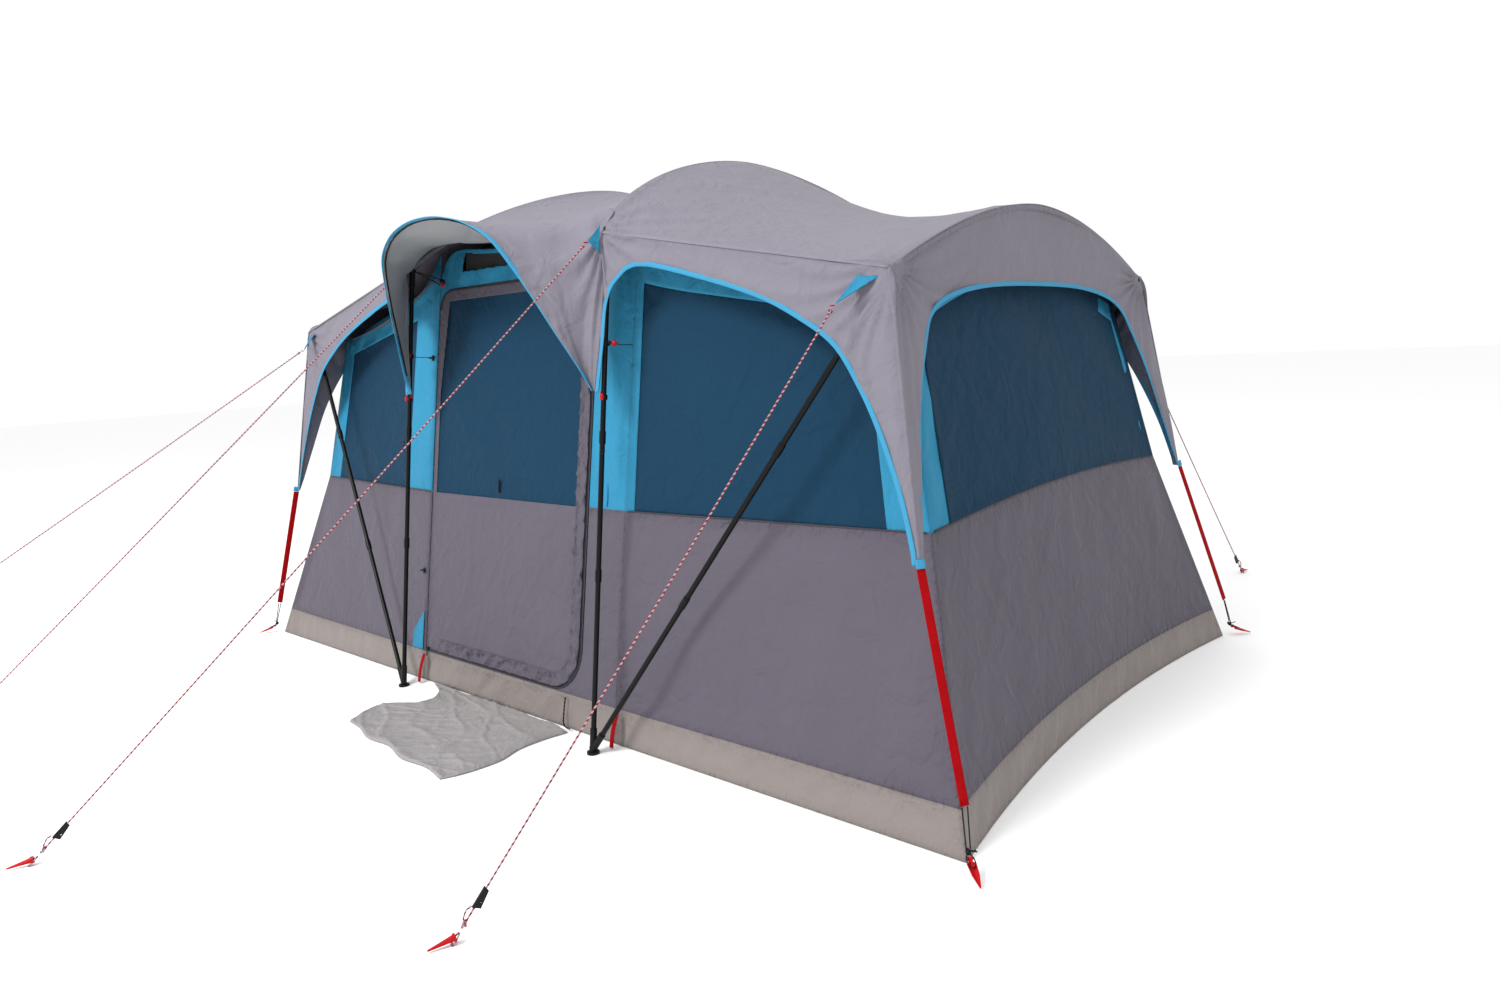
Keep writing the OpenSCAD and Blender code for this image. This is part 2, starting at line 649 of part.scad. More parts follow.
strap_end = [2100, -1205, 170];
peg_head = [2122, -1230, 46];
peg_tip = [2192, -1297, 6];
module corner_straps() color(RED) both_y() both_x()
    webbing(tip + [6, -6, -6], strap_end, strap_w);

module elastic_loops() color(BLACK) both_y() both_x() {
    for (side = [-8, 8])
        rod(strap_end + [side / 2, side, -3], peg_head + [side / 2 - 2, side / 2 + 3, 16], 4);
    translate(peg_head + [-2, 3, 6])
        sphere(d = 16);
}

// A tapered peg from its head to its tip
module peg(head, point) aim(head, point) {
    cylinder(h = 7, d = 22);
    translate([0, 0, 6])
        cylinder(h = norm(point - head) - 6, d1 = 17, d2 = 5);
}

foot_pin = [foot_x, -foot_y - 26, 0];
module corner_pegs() color(RED) both_y() both_x()
    peg(lerp(peg_head, peg_tip, 0.2), peg_tip);

// Short straps from the bathtub wall to the feet, beside the poles
module foot_straps() color(RED) both_y() for (x = [-622, 690]) {
    webbing([x, -half_w - 6, 118], [x, -half_w - 42, 8], 20);
    translate([(x > 0 ? foot_x : -foot_x) + 26, -foot_y + 30, 3])
        rotate([0, 0, x > 0 ? 60 : 120])
            translate([-4, -3, 0])
                cube([38, 6, 6]);
}

// Where each rope starts, and where it reaches its peg
ROPES = [
    [corner_guy, [1262, -2250, 14]],
    [hub_guy, [-150, -2800, 14]],
    [flip_x(hub_guy), [-1490, -2850, 14]],
    [flip_x(corner_guy), [-2700, -3200, 14]],
    [flip_y(corner_guy), [1865, 2435, 14]]];
knot = 26;              // from a tie point or a peg to the end of its rope's straight run
runner_at = 55;        // from the lower end of a rope to its runner

function rope_dir(k) = unit(ROPES[k][1] - ROPES[k][0]);
function rope_start(k) = ROPES[k][0] + knot * rope_dir(k);
function rope_end(k) = ROPES[k][1] - knot * rope_dir(k);

module guy_rope(k) color(ROPE)
    sweep([for (s = steps(15)) lerp(rope_start(k), rope_end(k), s)], rope_d, 8);

// A tapered tensioner with the rope through its long bore
module runner(k) color(BLACK) {
    a = rope_end(k) - runner_at * rope_dir(k);
    aim(a, rope_start(k)) difference() {
        translate([0, 3.5, 0])
            rotate([90, 0, 0])
                linear_extrude(height = 7)
                    polygon([[-6, 0], [16, 6], [10, 52], [-6, 58]]);
        translate([0, 0, -5])
            cylinder(h = 80, d = rope_d + 1.2);
        translate([9, 20, 18])
            rotate([90, 0, 0])
                cylinder(h = 40, d = 5);
    }
}

function peg_line(k) = let (d = rope_dir(k)) unit([d[0], d[1], 0]);
module rope_pegs() color(RED) for (k = [0:len(ROPES) - 1])
    peg(ROPES[k][1] + [0, 0, 4], ROPES[k][1] + 70 * peg_line(k) + [0, 0, -8]);

module rope_front_right() guy_rope(0);
module rope_hub_right() guy_rope(1);
module rope_hub_left() guy_rope(2);
module rope_front_left() guy_rope(3);
module rope_back_right() guy_rope(4);
module runner_front_right() runner(0);
module runner_hub_right() runner(1);
module runner_hub_left() runner(2);
module runner_front_left() runner(3);
module runner_back_right() runner(4);

// ---- mat ----

mat_outline = [[-560, -1206], [-430, -1265], [-370, -1370], [-490, -1500], [-440, -1665],
    [-240, -1703], [70, -1730], [376, -1752], [410, -1670], [427, -1540], [400, -1436],
    [404, -1325], [425, -1232], [300, -1216], [0, -1210]];
module door_mat() color(BEIGE)
    linear_extrude(height = 10)
        polygon(mat_outline);

// A cord that holds the mat's corner to the sill
module sill_cord() color(BLACK)
    sweep([[374, -half_w + 8, 120], [377, -half_w - 6, 70], [381, -half_w - 16, 26],
           [398, -half_w - 20, 18], [424, -half_w - 22, 16]], 6, 8);

groundsheet();
tub_walls();
wall_front_lower();
wall_front_upper();
wall_back_lower();
wall_back_upper();
wall_left_lower();
wall_left_upper();
wall_right_lower();
wall_right_upper();
window_front_left();
window_front_right();
window_left();
window_right();
windows_back();
roof_vents();
inner_roof();
door_panel();
door_window();
door_zip_tape();
door_storm_flap();
zip_slider_low();
zip_slider_side();
tie_back_toggles();
legs_front();
legs_back();
stays_front();
stays_back();
roof_arcs();
end_arcs();
hood_arch();
middle_hubs();
corner_hubs();
pole_feet();
leg_ferrules();
pole_clips();
hub_bungees();
fly_middle();
fly_left();
fly_right();
hood_canopy();
guy_tabs();
guy_rings();
corner_straps();
foot_straps();
elastic_loops();
corner_pegs();
rope_pegs();
rope_front_right();
rope_hub_right();
rope_hub_left();
rope_front_left();
rope_back_right();
runner_front_right();
runner_hub_right();
runner_hub_left();
runner_front_left();
runner_back_right();
door_mat();
sill_cord();
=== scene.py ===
"""The looks of the tunnel tent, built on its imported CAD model. Metres, +Z up, the door faces -Y."""
import math

import bpy
import numpy as np
from mathutils import Matrix


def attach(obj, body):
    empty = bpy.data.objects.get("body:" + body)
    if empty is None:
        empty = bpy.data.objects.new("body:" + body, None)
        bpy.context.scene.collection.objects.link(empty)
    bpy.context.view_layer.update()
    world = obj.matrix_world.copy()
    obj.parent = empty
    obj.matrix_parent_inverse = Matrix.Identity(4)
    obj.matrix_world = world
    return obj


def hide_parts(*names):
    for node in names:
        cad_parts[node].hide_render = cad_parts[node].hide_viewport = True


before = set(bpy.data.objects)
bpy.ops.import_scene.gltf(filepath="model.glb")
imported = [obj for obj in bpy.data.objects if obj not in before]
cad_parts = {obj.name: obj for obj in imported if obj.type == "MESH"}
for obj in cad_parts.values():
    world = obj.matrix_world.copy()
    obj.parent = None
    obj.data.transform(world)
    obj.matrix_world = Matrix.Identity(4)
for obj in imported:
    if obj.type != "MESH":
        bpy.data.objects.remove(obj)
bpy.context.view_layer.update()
scene = bpy.context.scene
scene.view_settings.view_transform = "Standard"

# ---- small tools ----


def vec(*numbers):
    """A point given in millimetres, in metres."""
    return np.array(numbers, float) / 1000


def lerp(a, b, s):
    return a + (b - a) * s


def unit(v):
    return v / np.maximum(np.linalg.norm(v, axis=-1, keepdims=True), 1e-12)


def smooth(x):
    """0 below 0, 1 above 1, and a soft step between."""
    x = np.clip(x, 0, 1)
    return x * x * (3 - 2 * x)


def along(points, s):
    """Points on the smooth curve through points, for each s from 0 to 1."""
    p = np.vstack([2 * points[0] - points[1], points, 2 * points[-1] - points[-2]])
    n = len(points) - 1
    s = np.clip(np.asarray(s, float), 0, 1) * n
    k = np.minimum(s.astype(int), n - 1)
    r = (s - k)[..., None]
    a, b, c, d = p[k], p[k + 1], p[k + 2], p[k + 3]
    return b + 0.5 * r * (c - a + r * (2 * a - 5 * b + 4 * c - d + r * (3 * (b - c) + d - a)))


def waves(a, b, size, seed, count=9):
    """Smooth bumps about size metres across, mostly between -1 and 1."""
    rng = np.random.RandomState(seed)
    out = np.zeros(np.shape(a))
    for _ in range(count):
        angle, k = rng.uniform(0, 2 * math.pi), 2 * math.pi / (size * rng.uniform(0.7, 1.7))
        out = out + np.sin(k * (a * math.cos(angle) + b * math.sin(angle)) + rng.uniform(0, 2 * math.pi))
    return out / math.sqrt(count)


def creases(a, b, size, seed, width=0.3):
    """Thin winding ridges, 0 to 1, about size metres apart."""
    return np.exp(-(waves(a, b, size, seed) / width) ** 2)


def turned(a, b, degrees, long, short):
    """Coordinates in which noise is drawn out along a direction."""
    c, s = math.cos(math.radians(degrees)), math.sin(math.radians(degrees))
    return (a * c + b * s) / long, (b * c - a * s) / short


def rays(a, b, at, count, reach, seed):
    """Tension folds that spread from a point."""
    da, db = a - at[0], b - at[1]
    r = np.hypot(da, db)
    angle = np.arctan2(db, da) + 0.25 * waves(a, b, 0.5, seed)
    return np.sin(count * angle) * np.exp(-r / reach) * smooth(r / 0.07)


def new_object(name, data):
    obj = bpy.data.objects.new(name, data)
    scene.collection.objects.link(obj)
    return obj


def make_mesh(name, points, faces, uvs=None, material=None, seam=None):
    """A smooth-shaded mesh; uvs are in metres, one for each vertex."""
    mesh = bpy.data.meshes.new(name)
    mesh.from_pydata([tuple(p) for p in points], [], [tuple(f) for f in faces])
    mesh.polygons.foreach_set("use_smooth", [True] * len(mesh.polygons))
    if uvs is not None:
        layer = mesh.uv_layers.new(name="UVMap")
        index = np.empty(len(mesh.loops), int)
        mesh.loops.foreach_get("vertex_index", index)
        layer.data.foreach_set("uv", np.asarray(uvs, float)[index].ravel())
    if seam is not None:
        mesh.attributes.new("seam", "FLOAT", "POINT").data.foreach_set("value", np.ravel(seam))
    if material is not None:
        mesh.materials.append(material)
    mesh.update()
    return new_object(name, mesh)


def join(name, pieces):
    """One object out of several that share a material."""
    bpy.ops.object.select_all(action="DESELECT")
    for piece in pieces:
        piece.select_set(True)
    bpy.context.view_layer.objects.active = pieces[0]
    bpy.ops.object.join()
    pieces[0].name = name
    return pieces[0]


# ---- camera ----

YAW, PITCH, ROLL = (math.radians(a) for a in (41.336, 9.029, -3.203))
CAMERA_AT, LENS_MM = (3.3107, -3.3849, 1.4217), 23.224
level = np.array([math.cos(YAW), math.sin(YAW), 0])
ahead = np.array([-math.sin(YAW) * math.cos(PITCH), math.cos(YAW) * math.cos(PITCH), -math.sin(PITCH)])
upward = np.cross(level, ahead)
right = level * math.cos(ROLL) + upward * math.sin(ROLL)
above = upward * math.cos(ROLL) - level * math.sin(ROLL)
camera = new_object("camera", bpy.data.cameras.new("camera"))
camera.data.lens = LENS_MM
camera.data.sensor_width = 36
camera.data.clip_end = 200
turn = Matrix(np.column_stack([right, above, -ahead]).tolist())
camera.matrix_world = Matrix.Translation(CAMERA_AT) @ turn.to_4x4()
scene.camera = camera

# ---- materials ----


class Nodes:
    """Builds a node tree with short calls."""

    def __init__(self, material):
        material.use_nodes = True
        self.tree = material.node_tree
        self.tree.nodes.clear()

    def add(self, kind, inputs=None, **settings):
        node = self.tree.nodes.new(kind)
        for key, value in settings.items():
            setattr(node, key, value)
        for key, value in (inputs or {}).items():
            self.feed(node.inputs[key], value)
        return node

    def feed(self, socket, value):
        if isinstance(value, bpy.types.NodeSocket):
            self.tree.links.new(value, socket)
        else:
            socket.default_value = value

    def math(self, operation, a, b=0.0, c=0.0, clamp=False):
        node = self.add("ShaderNodeMath", {0: a, 1: b, 2: c}, operation=operation, use_clamp=clamp)
        return node.outputs[0]

    def noise(self, where, scale, detail=4.0, distortion=0.0, kind="FBM"):
        node = self.add("ShaderNodeTexNoise", {"Vector": where, "Scale": scale, "Detail": detail,
                                               "Distortion": distortion}, noise_type=kind)
        return node.outputs["Fac"]

    def bump(self, height, distance, strength=1.0, normal=None):
        inputs = {"Height": height, "Distance": distance, "Strength": strength}
        if normal is not None:
            inputs["Normal"] = normal
        return self.add("ShaderNodeBump", inputs).outputs[0]

    def mix(self, factor, a, b):
        node = self.add("ShaderNodeMix", data_type="RGBA")
        self.feed(node.inputs["Factor"], factor)
        self.feed(node.inputs["A"], a)
        self.feed(node.inputs["B"], b)
        return node.outputs["Result"]

    def output(self, shader):
        self.add("ShaderNodeOutputMaterial", {"Surface": shader})


def rgb(r, g, b):
    """A linear colour from 0 to 255 display values."""
    return tuple(((c / 255 + 0.055) / 1.055) ** 2.4 if c > 10 else c / 3294 for c in (r, g, b)) + (1.0,)


def scaled(colour, k):
    return tuple(c * k for c in colour[:3]) + (1.0,)


def cloth(name, colour, rough=0.66, thread=0.0011, crinkle=1.0, pucker=1.0, glow=0.12, sheen=0.07,
          mottle=0.07, coat=0.0, shine=0.2):
    """Woven cloth: a fine plain weave, soft creases, puckered seams with painted shade along them, and light
    through the back.
    """
    material = bpy.data.materials.new(name)
    n = Nodes(material)
    uv = n.add("ShaderNodeTexCoord").outputs["UV"]
    place = n.add("ShaderNodeTexCoord").outputs["Object"]
    seam = n.add("ShaderNodeAttribute", attribute_name="seam").outputs["Fac"]
    split = n.add("ShaderNodeSeparateXYZ", {0: uv})
    warp = n.math("SINE", n.math("MULTIPLY", split.outputs[0], 2 * math.pi / thread))
    weft = n.math("SINE", n.math("MULTIPLY", split.outputs[1], 2 * math.pi / thread))
    weave = n.math("MULTIPLY", warp, weft)
    patch = n.noise(place, 2.3, 5.0, 0.4)
    streak = n.noise(n.add("ShaderNodeMapping", {0: place, "Scale": (9, 9, 1.4)}).outputs[0], 2.0, 3.0)
    tone = n.math("ADD", n.math("MULTIPLY", patch, 1.4), n.math("MULTIPLY", streak, 0.6))
    # Darker by a tenth within a few centimetres of each panel's edge: painted shade along the seams.
    near = n.math("POWER", 2.718, n.math("MULTIPLY", seam, -38.0))
    shade = n.math("SUBTRACT", n.math("MULTIPLY", n.math("SUBTRACT", tone, 1.0), mottle),
                   n.math("MULTIPLY", near, 0.10))
    shade = n.math("ADD", shade, n.math("MULTIPLY", weave, 0.035))
    paint = n.mix(n.math("ADD", shade, 0.5, clamp=True), scaled(colour, 0.5), scaled(colour, 1.5))
    soft = n.noise(place, 9.0, 5.0, 1.2)
    sharp = n.noise(place, 16.0, 6.0, 0.8, "RIDGED_MULTIFRACTAL")
    folds = n.bump(soft, 0.010 * crinkle, 0.55)
    folds = n.bump(sharp, 0.0016 * crinkle, 0.5, folds)
    gathers = n.noise(n.add("ShaderNodeMapping", {0: place, "Scale": (46, 46, 30)}).outputs[0], 1.0, 2.0, 0.6)
    pull = n.math("MULTIPLY", n.math("MULTIPLY", gathers, near), pucker)
    folds = n.bump(pull, 0.011, 0.8, folds)
    fine = n.bump(weave, thread * 0.12, 0.5, folds)
    body = n.add("ShaderNodeBsdfPrincipled", {
        "Base Color": paint, "Normal": fine, "Sheen Weight": sheen, "Sheen Roughness": 0.4,
        "Roughness": n.math("ADD", rough - 0.06, n.math("MULTIPLY", patch, 0.12)),
        "Specular IOR Level": shine, "Coat Weight": coat, "Coat Roughness": 0.3})
    through = n.add("ShaderNodeBsdfTranslucent", {"Color": paint, "Normal": fine})
    n.output(n.add("ShaderNodeMixShader", {0: glow, 1: body.outputs[0], 2: through.outputs[0]}).outputs[0])
    return material


def solid(name, colour, rough=0.45, grain=0.0004, metal=0.0, grain_scale=900.0, coat=0.0):
    """Moulded plastic or enamel with a fine grain and slight wear in its gloss."""
    material = bpy.data.materials.new(name)
    n = Nodes(material)
    place = n.add("ShaderNodeTexCoord").outputs["Object"]
    fine = n.noise(place, grain_scale, 2.0)
    broad = n.noise(place, 14.0, 4.0)
    paint = n.mix(broad, scaled(colour, 0.8), scaled(colour, 1.25))
    body = n.add("ShaderNodeBsdfPrincipled", {
        "Base Color": paint, "Metallic": metal, "Normal": n.bump(fine, grain, 0.6),
        "Specular IOR Level": 0.16,
        "Roughness": n.math("ADD", rough - 0.08, n.math("MULTIPLY", broad, 0.16)),
        "Coat Weight": coat, "Coat Roughness": 0.15})
    n.output(body.outputs[0])
    return material


def webbing_cloth(name, colour, pitch=0.0022):
    """Flat webbing: ribs across and a chevron of yarns."""
    material = bpy.data.materials.new(name)
    n = Nodes(material)
    split = n.add("ShaderNodeSeparateXYZ", {0: n.add("ShaderNodeTexCoord").outputs["UV"]})
    across = n.math("ABSOLUTE", split.outputs[1])
    slant = n.math("ADD", split.outputs[0], n.math("MULTIPLY", n.math("PINGPONG", across, 0.0035), 0.8))
    rib = n.math("SINE", n.math("MULTIPLY", slant, 2 * math.pi / pitch))
    yarn = n.math("SINE", n.math("MULTIPLY", across, 2 * math.pi / 0.0014))
    patch = n.noise(n.add("ShaderNodeTexCoord").outputs["Object"], 30.0, 3.0)
    tone = n.math("ADD", n.math("MULTIPLY", rib, 0.10), n.math("MULTIPLY", patch, 0.5))
    paint = n.mix(n.math("ADD", tone, 0.25, clamp=True), scaled(colour, 0.7), scaled(colour, 1.3))
    ribs = n.bump(n.math("ADD", rib, n.math("MULTIPLY", yarn, 0.5)), 0.0004, 0.8)
    body = n.add("ShaderNodeBsdfPrincipled", {"Base Color": paint, "Normal": ribs, "Roughness": 0.6,
                                              "Specular IOR Level": 0.06})
    n.output(body.outputs[0])
    return material


def braid(name, colour, fleck, turns=0.016, share=0.0):
    """Round braided cord with slanting flecks; its UV runs in metres along and in turns around."""
    material = bpy.data.materials.new(name)
    n = Nodes(material)
    split = n.add("ShaderNodeSeparateXYZ", {0: n.add("ShaderNodeTexCoord").outputs["UV"]})
    step = n.math("MULTIPLY", split.outputs[0], 1 / turns)
    slant = n.math("MULTIPLY", split.outputs[1], 0.6)
    stripe = n.math("SINE", n.math("MULTIPLY", n.math("ADD", step, slant), 2 * math.pi))
    one_way = n.math("SINE", n.math("MULTIPLY", n.math("ADD", step, split.outputs[1]), 12 * math.pi))
    other_way = n.math("SINE", n.math("MULTIPLY", n.math("SUBTRACT", step, split.outputs[1]), 12 * math.pi))
    yarns = n.math("MULTIPLY", one_way, other_way)
    mark = n.math("GREATER_THAN", n.math("ADD", stripe, n.math("MULTIPLY", yarns, 0.25)), share)
    paint = n.mix(mark, colour, fleck)
    body = n.add("ShaderNodeBsdfPrincipled", {"Base Color": paint, "Normal": n.bump(yarns, 0.0005, 0.9),
                                              "Roughness": 0.65, "Specular IOR Level": 0.15})
    n.output(body.outputs[0])
    return material


FLY = cloth("fly_cloth", rgb(126, 122, 133), glow=0.12, crinkle=2.6, mottle=0.1)
WALL = cloth("grey_cloth", rgb(86, 81, 92), glow=0.02, pucker=2.2, crinkle=2.6, mottle=0.11)
CYAN = cloth("cyan_cloth", rgb(48, 140, 178), glow=0.2, crinkle=2.6, mottle=0.14, sheen=0.03)
CYAN_HEM = cloth("cyan_binding", rgb(58, 142, 180), thread=0.0016, crinkle=0.4, glow=0.1)
MESH = cloth("window_mesh", rgb(17, 52, 75), rough=0.7, thread=0.0016, crinkle=2.8, glow=0.02, sheen=0.02,
             shine=0.1)
VENT = cloth("vent_mesh", rgb(46, 45, 46), rough=0.8, thread=0.002, crinkle=0.4, glow=0.1)
TUB = cloth("tub_cloth", rgb(130, 122, 119), rough=0.55, thread=0.003, crinkle=1.5, pucker=2.0, glow=0.03,
            coat=0.05)
MAT = cloth("mat_cloth", rgb(150, 146, 146), rough=0.5, thread=0.003, crinkle=2.2, glow=0.0, coat=0.12)
TAPE = cloth("zip_tape", rgb(58, 56, 62), thread=0.0016, crinkle=0.2, glow=0.0)
INNER = cloth("inner_roof_cloth", rgb(130, 126, 130), thread=0.002, crinkle=0.8, glow=0.3)
# Painted light: the hood's underside is coloured pale grey to stand for daylight shining through the hood;
# the rest of the fly keeps its own colour inside.
HOOD_UNDERSIDE_PAINTED_LIGHT = cloth("hood_underside_painted_light", rgb(186, 187, 187), crinkle=0.8, glow=0.35)
RED_WEB = webbing_cloth("red_webbing", rgb(158, 2, 10))
BLACK_WEB = webbing_cloth("black_webbing", rgb(20, 20, 22))
STEEL = solid("black_steel", rgb(9, 9, 10), rough=0.34, grain=0.0001)
ROD = solid("black_rod", rgb(12, 12, 13), rough=0.4)
PLASTIC = solid("black_plastic", rgb(16, 16, 18), rough=0.42)
RED = solid("red_plastic", rgb(168, 7, 16), rough=0.35)
ROPE = braid("rope", rgb(186, 172, 178), rgb(150, 10, 32))
ELASTIC = braid("black_cord", rgb(14, 14, 15), rgb(96, 94, 94), turns=0.02, share=0.93)

# ---- tubes, ribbons and sheets ----


def tube(name, path, radius, material, sides=10):
    """A round tube along a path, with its UV in metres along and turns around."""
    path = np.asarray(path, float)
    radius = np.broadcast_to(radius, len(path))
    ahead_ = unit(np.gradient(path, axis=0))
    side = np.cross(ahead_[0], [0, 0, 1.0])
    if np.linalg.norm(side) < 0.1:
        side = np.array([1.0, 0, 0])
    frames = []
    for t in ahead_:
        side = unit(side - t * np.dot(side, t))
        frames.append(side)
    side = np.array(frames)
    other = np.cross(ahead_, side)
    n = len(path)
    gone = np.concatenate([[0], np.cumsum(np.linalg.norm(np.diff(path, axis=0), axis=1))])
    angle = np.linspace(0, 2 * math.pi, sides + 1)
    ring = np.cos(angle)[None, :, None] * side[:, None] + np.sin(angle)[None, :, None] * other[:, None]
    points = (path[:, None] + radius[:, None, None] * ring)[:, :-1].reshape(-1, 3)
    at = lambda i, k: i * sides + k % sides
    faces = [(at(i, k), at(i, k + 1), at(i + 1, k + 1), at(i + 1, k)) for i in range(n - 1)
             for k in range(sides)]
    faces += [tuple(range(sides))[::-1], tuple((n - 1) * sides + k for k in range(sides))]
    turns = np.abs((np.arange(sides) / sides * 2 + 1) % 2 - 1)
    uvs = np.stack(np.broadcast_arrays(gone[:, None], turns[None, :]), -1).reshape(-1, 2)
    return make_mesh(name, points, faces, uvs, material)


def grid_normal(p):
    return unit(np.cross(np.gradient(p, axis=0), np.gradient(p, axis=1)))


def measure(p):
    """Lengths in metres along both ways of a grid of points."""
    a = np.zeros(p.shape[:2])
    b = np.zeros(p.shape[:2])
    a[1:] = np.cumsum(np.linalg.norm(np.diff(p, axis=0), axis=2), axis=0)
    b[:, 1:] = np.cumsum(np.linalg.norm(np.diff(p, axis=1), axis=2), axis=1)
    mid = p.shape[1] // 2
    a = np.broadcast_to(a[:, mid:mid + 1], a.shape)
    mid = p.shape[0] // 2
    b = np.broadcast_to(b[mid:mid + 1], b.shape)
    return a, b


THICK = 0.0016


def patch(name, spot, u, v, counts, material, shape=None, lift=0.0, hold=0.05, thick=THICK, keep=None,
          out=None, calm=None, lining=None):
    """A panel of cloth over spot(u, v). shape(a, b, p) gives how far it swells, in metres, and it is
    held along its edges over the distance hold. keep(u, v, p) says where there is cloth, and
    calm(uu, vv, p) scales the swelling. lining is the material of its other side."""
    us, vs = np.linspace(u[0], u[1], counts[0] + 1), np.linspace(v[0], v[1], counts[1] + 1)
    uu, vv = np.meshgrid(us, vs, indexing="ij")
    p = spot(uu, vv)
    a, b = measure(p)
    if out is None:
        out = 1 if np.sum(grid_normal(p) * (p - [0, 0, 0.9])) > 0 else -1
    normal = grid_normal(p) * out
    edge = np.minimum(np.minimum(a, a.max() - a), np.minimum(b, b.max() - b))
    swell = lift + np.zeros_like(a)
    if shape is not None:
        slack = smooth(edge / hold) * (1 if calm is None else calm(uu, vv, p))
        swell = swell + shape(a, b, p) * slack
    p = p + normal * swell[..., None]
    n, m = counts
    index = np.arange((n + 1) * (m + 1)).reshape(n + 1, m + 1)
    quads = np.stack([index[:-1, :-1], index[1:, :-1], index[1:, 1:], index[:-1, 1:]], -1)
    if out < 0:
        quads = quads[..., ::-1]
    if keep is not None:
        centre = lambda g: (g[:-1, :-1] + g[1:, :-1] + g[1:, 1:] + g[:-1, 1:]) / 4
        quads = quads[keep(centre(uu), centre(vv), centre(p))]
    piece = make_mesh(name, p.reshape(-1, 3), quads.reshape(-1, 4), np.stack([a, b], -1).reshape(-1, 2),
                      material, edge)
    if thick:
        give = piece.modifiers.new("thickness", "SOLIDIFY")
        give.thickness = thick
        give.offset = -1
        if lining is not None:
            piece.data.materials.append(lining)
            give.material_offset = 1
    return piece


def ribbon(name, path, facing, width, material, thick=0.002, crown=0.0004, closed=False):
    """A flat band along a path; facing is its outward direction at each point."""
    path = np.asarray(path, float)
    facing = np.broadcast_to(np.asarray(facing, float), path.shape)
    ahead_ = unit(np.gradient(path, axis=0))
    side = unit(np.cross(ahead_, facing))
    normal = np.cross(side, ahead_)
    gone = np.concatenate([[0], np.cumsum(np.linalg.norm(np.diff(path, axis=0), axis=1))])
    w, t = width / 2, thick / 2
    profile = [(-w, 0), (-w + t * 0.6, t * 0.8), (-w * 0.5, t + crown), (0, t + crown * 1.3),
               (w * 0.5, t + crown), (w - t * 0.6, t * 0.8), (w, 0), (w - t * 0.6, -t), (0, -t),
               (-w + t * 0.6, -t)]
    k = len(profile)
    points = np.concatenate([path[:, None] + side[:, None] * x + normal[:, None] * h for x, h in profile], 1)
    n = len(path)
    faces = [(i * k + j, i * k + (j + 1) % k, (i + 1) * k + (j + 1) % k, (i + 1) * k + j)
             for i in range(n - 1) for j in range(k)]
    faces += [tuple(range(k))[::-1], tuple((n - 1) * k + j for j in range(k))]
    uvs = np.stack(np.broadcast_arrays(gone[:, None], np.array([x for x, _ in profile])[None]), -1)
    return make_mesh(name, points.reshape(-1, 3), faces, uvs.reshape(-1, 2), material, np.full(n * k, 0.2))


def edge_path(spot, u, v, count):
    """Points and outward normals along a line of a surface, with u or v a pair and the other fixed."""
    small = 1e-3
    if np.ndim(u):
        s = np.linspace(u[0], u[1], count)
        uu, vv = s, np.full(count, float(v))
    else:
        s = np.linspace(v[0], v[1], count)
        uu, vv = np.full(count, float(u)), s
    p = spot(uu, vv)
    step_u = spot(np.clip(uu + small, 0, 1), vv) - spot(np.clip(uu - small, 0, 1), vv)
    step_v = spot(uu, np.clip(vv + small, 0, 1)) - spot(uu, np.clip(vv - small, 0, 1))
    return p, unit(np.cross(step_u, step_v))


def mirrored(spot, sx=1, sy=1):
    """The same surface on another side of the tent."""
    flip = np.array([sx, sy, 1.0])
    return lambda u, v: spot(u, v) * flip


def finish_piece(piece, body, *nodes):
    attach(piece, body)
    if nodes:
        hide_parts(*nodes)
    return piece


def as_sheet(piece, held="stretched", rests_on=("legs_front",), with_pieces=()):
    """Reads a cloth panel's own lengths both ways from its UV map; nothing more is done with them."""
    mesh = piece.data
    uv = np.empty(2 * len(mesh.loops))
    mesh.uv_layers[0].data.foreach_get("uv", uv)
    uv = uv.reshape(-1, 2)


def hang_cloth(piece, body, node, *held, **more):
    finish_piece(piece, body, node)
    as_sheet(piece, *held, **more)


# ---- the tent's geometry, as in the CAD model ----

HAND, FACE = {1: "right", -1: "left"}, {1: "front", -1: "back"}
HALF_L, HALF_W = 2.1, 1.2
FOOT_X = 0.655
TUB_H, BORDER_Z = 0.13, 0.85
LEAN = math.atan(0.165)
SLOPE = 1 / math.cos(LEAN)
HUB = vec(655, -1040, 1830)
CORNER = vec(1775, -980, 1610)
FOOT = vec(655, -1300, 14)
TOP_CORNER = vec(1709, 843, 1560)
TIP = vec(1922, -1106, 790)
CREST, CREST_IN, END_CREST = 0.376, 0.22, 0.235
BORDER_RISE, PULL_IN, END_RISE = 0.035, 0.11, 0.23


def four_corners():
    """The signs of x and y at each corner, the factors that mirror a part there, and its name."""
    for x_side in (1, -1):
        for y_side in (1, -1):
            yield x_side, y_side, np.array([x_side, y_side, 1]), f"{FACE[y_side]}_{HAND[x_side]}"


def wall_y(z):
    return -HALF_W + z * math.tan(LEAN)


def bilerp(q, u, v):
    u, v = np.asarray(u, float)[..., None], np.asarray(v, float)[..., None]
    return lerp(lerp(q[0], q[1], u), lerp(q[3], q[2], u), v)


LOW = [vec(655, -1200, 0), vec(2100, -1200, 0), vec(1865, -948, 850),
       np.array([FOOT_X, wall_y(BORDER_Z), BORDER_Z])]
HIGH = [LOW[3], LOW[2], TOP_CORNER * [1, -1, 1], np.array([FOOT_X, wall_y(1.78), 1.78])]


def bay_low(u, v):
    return bilerp(LOW, u, v)


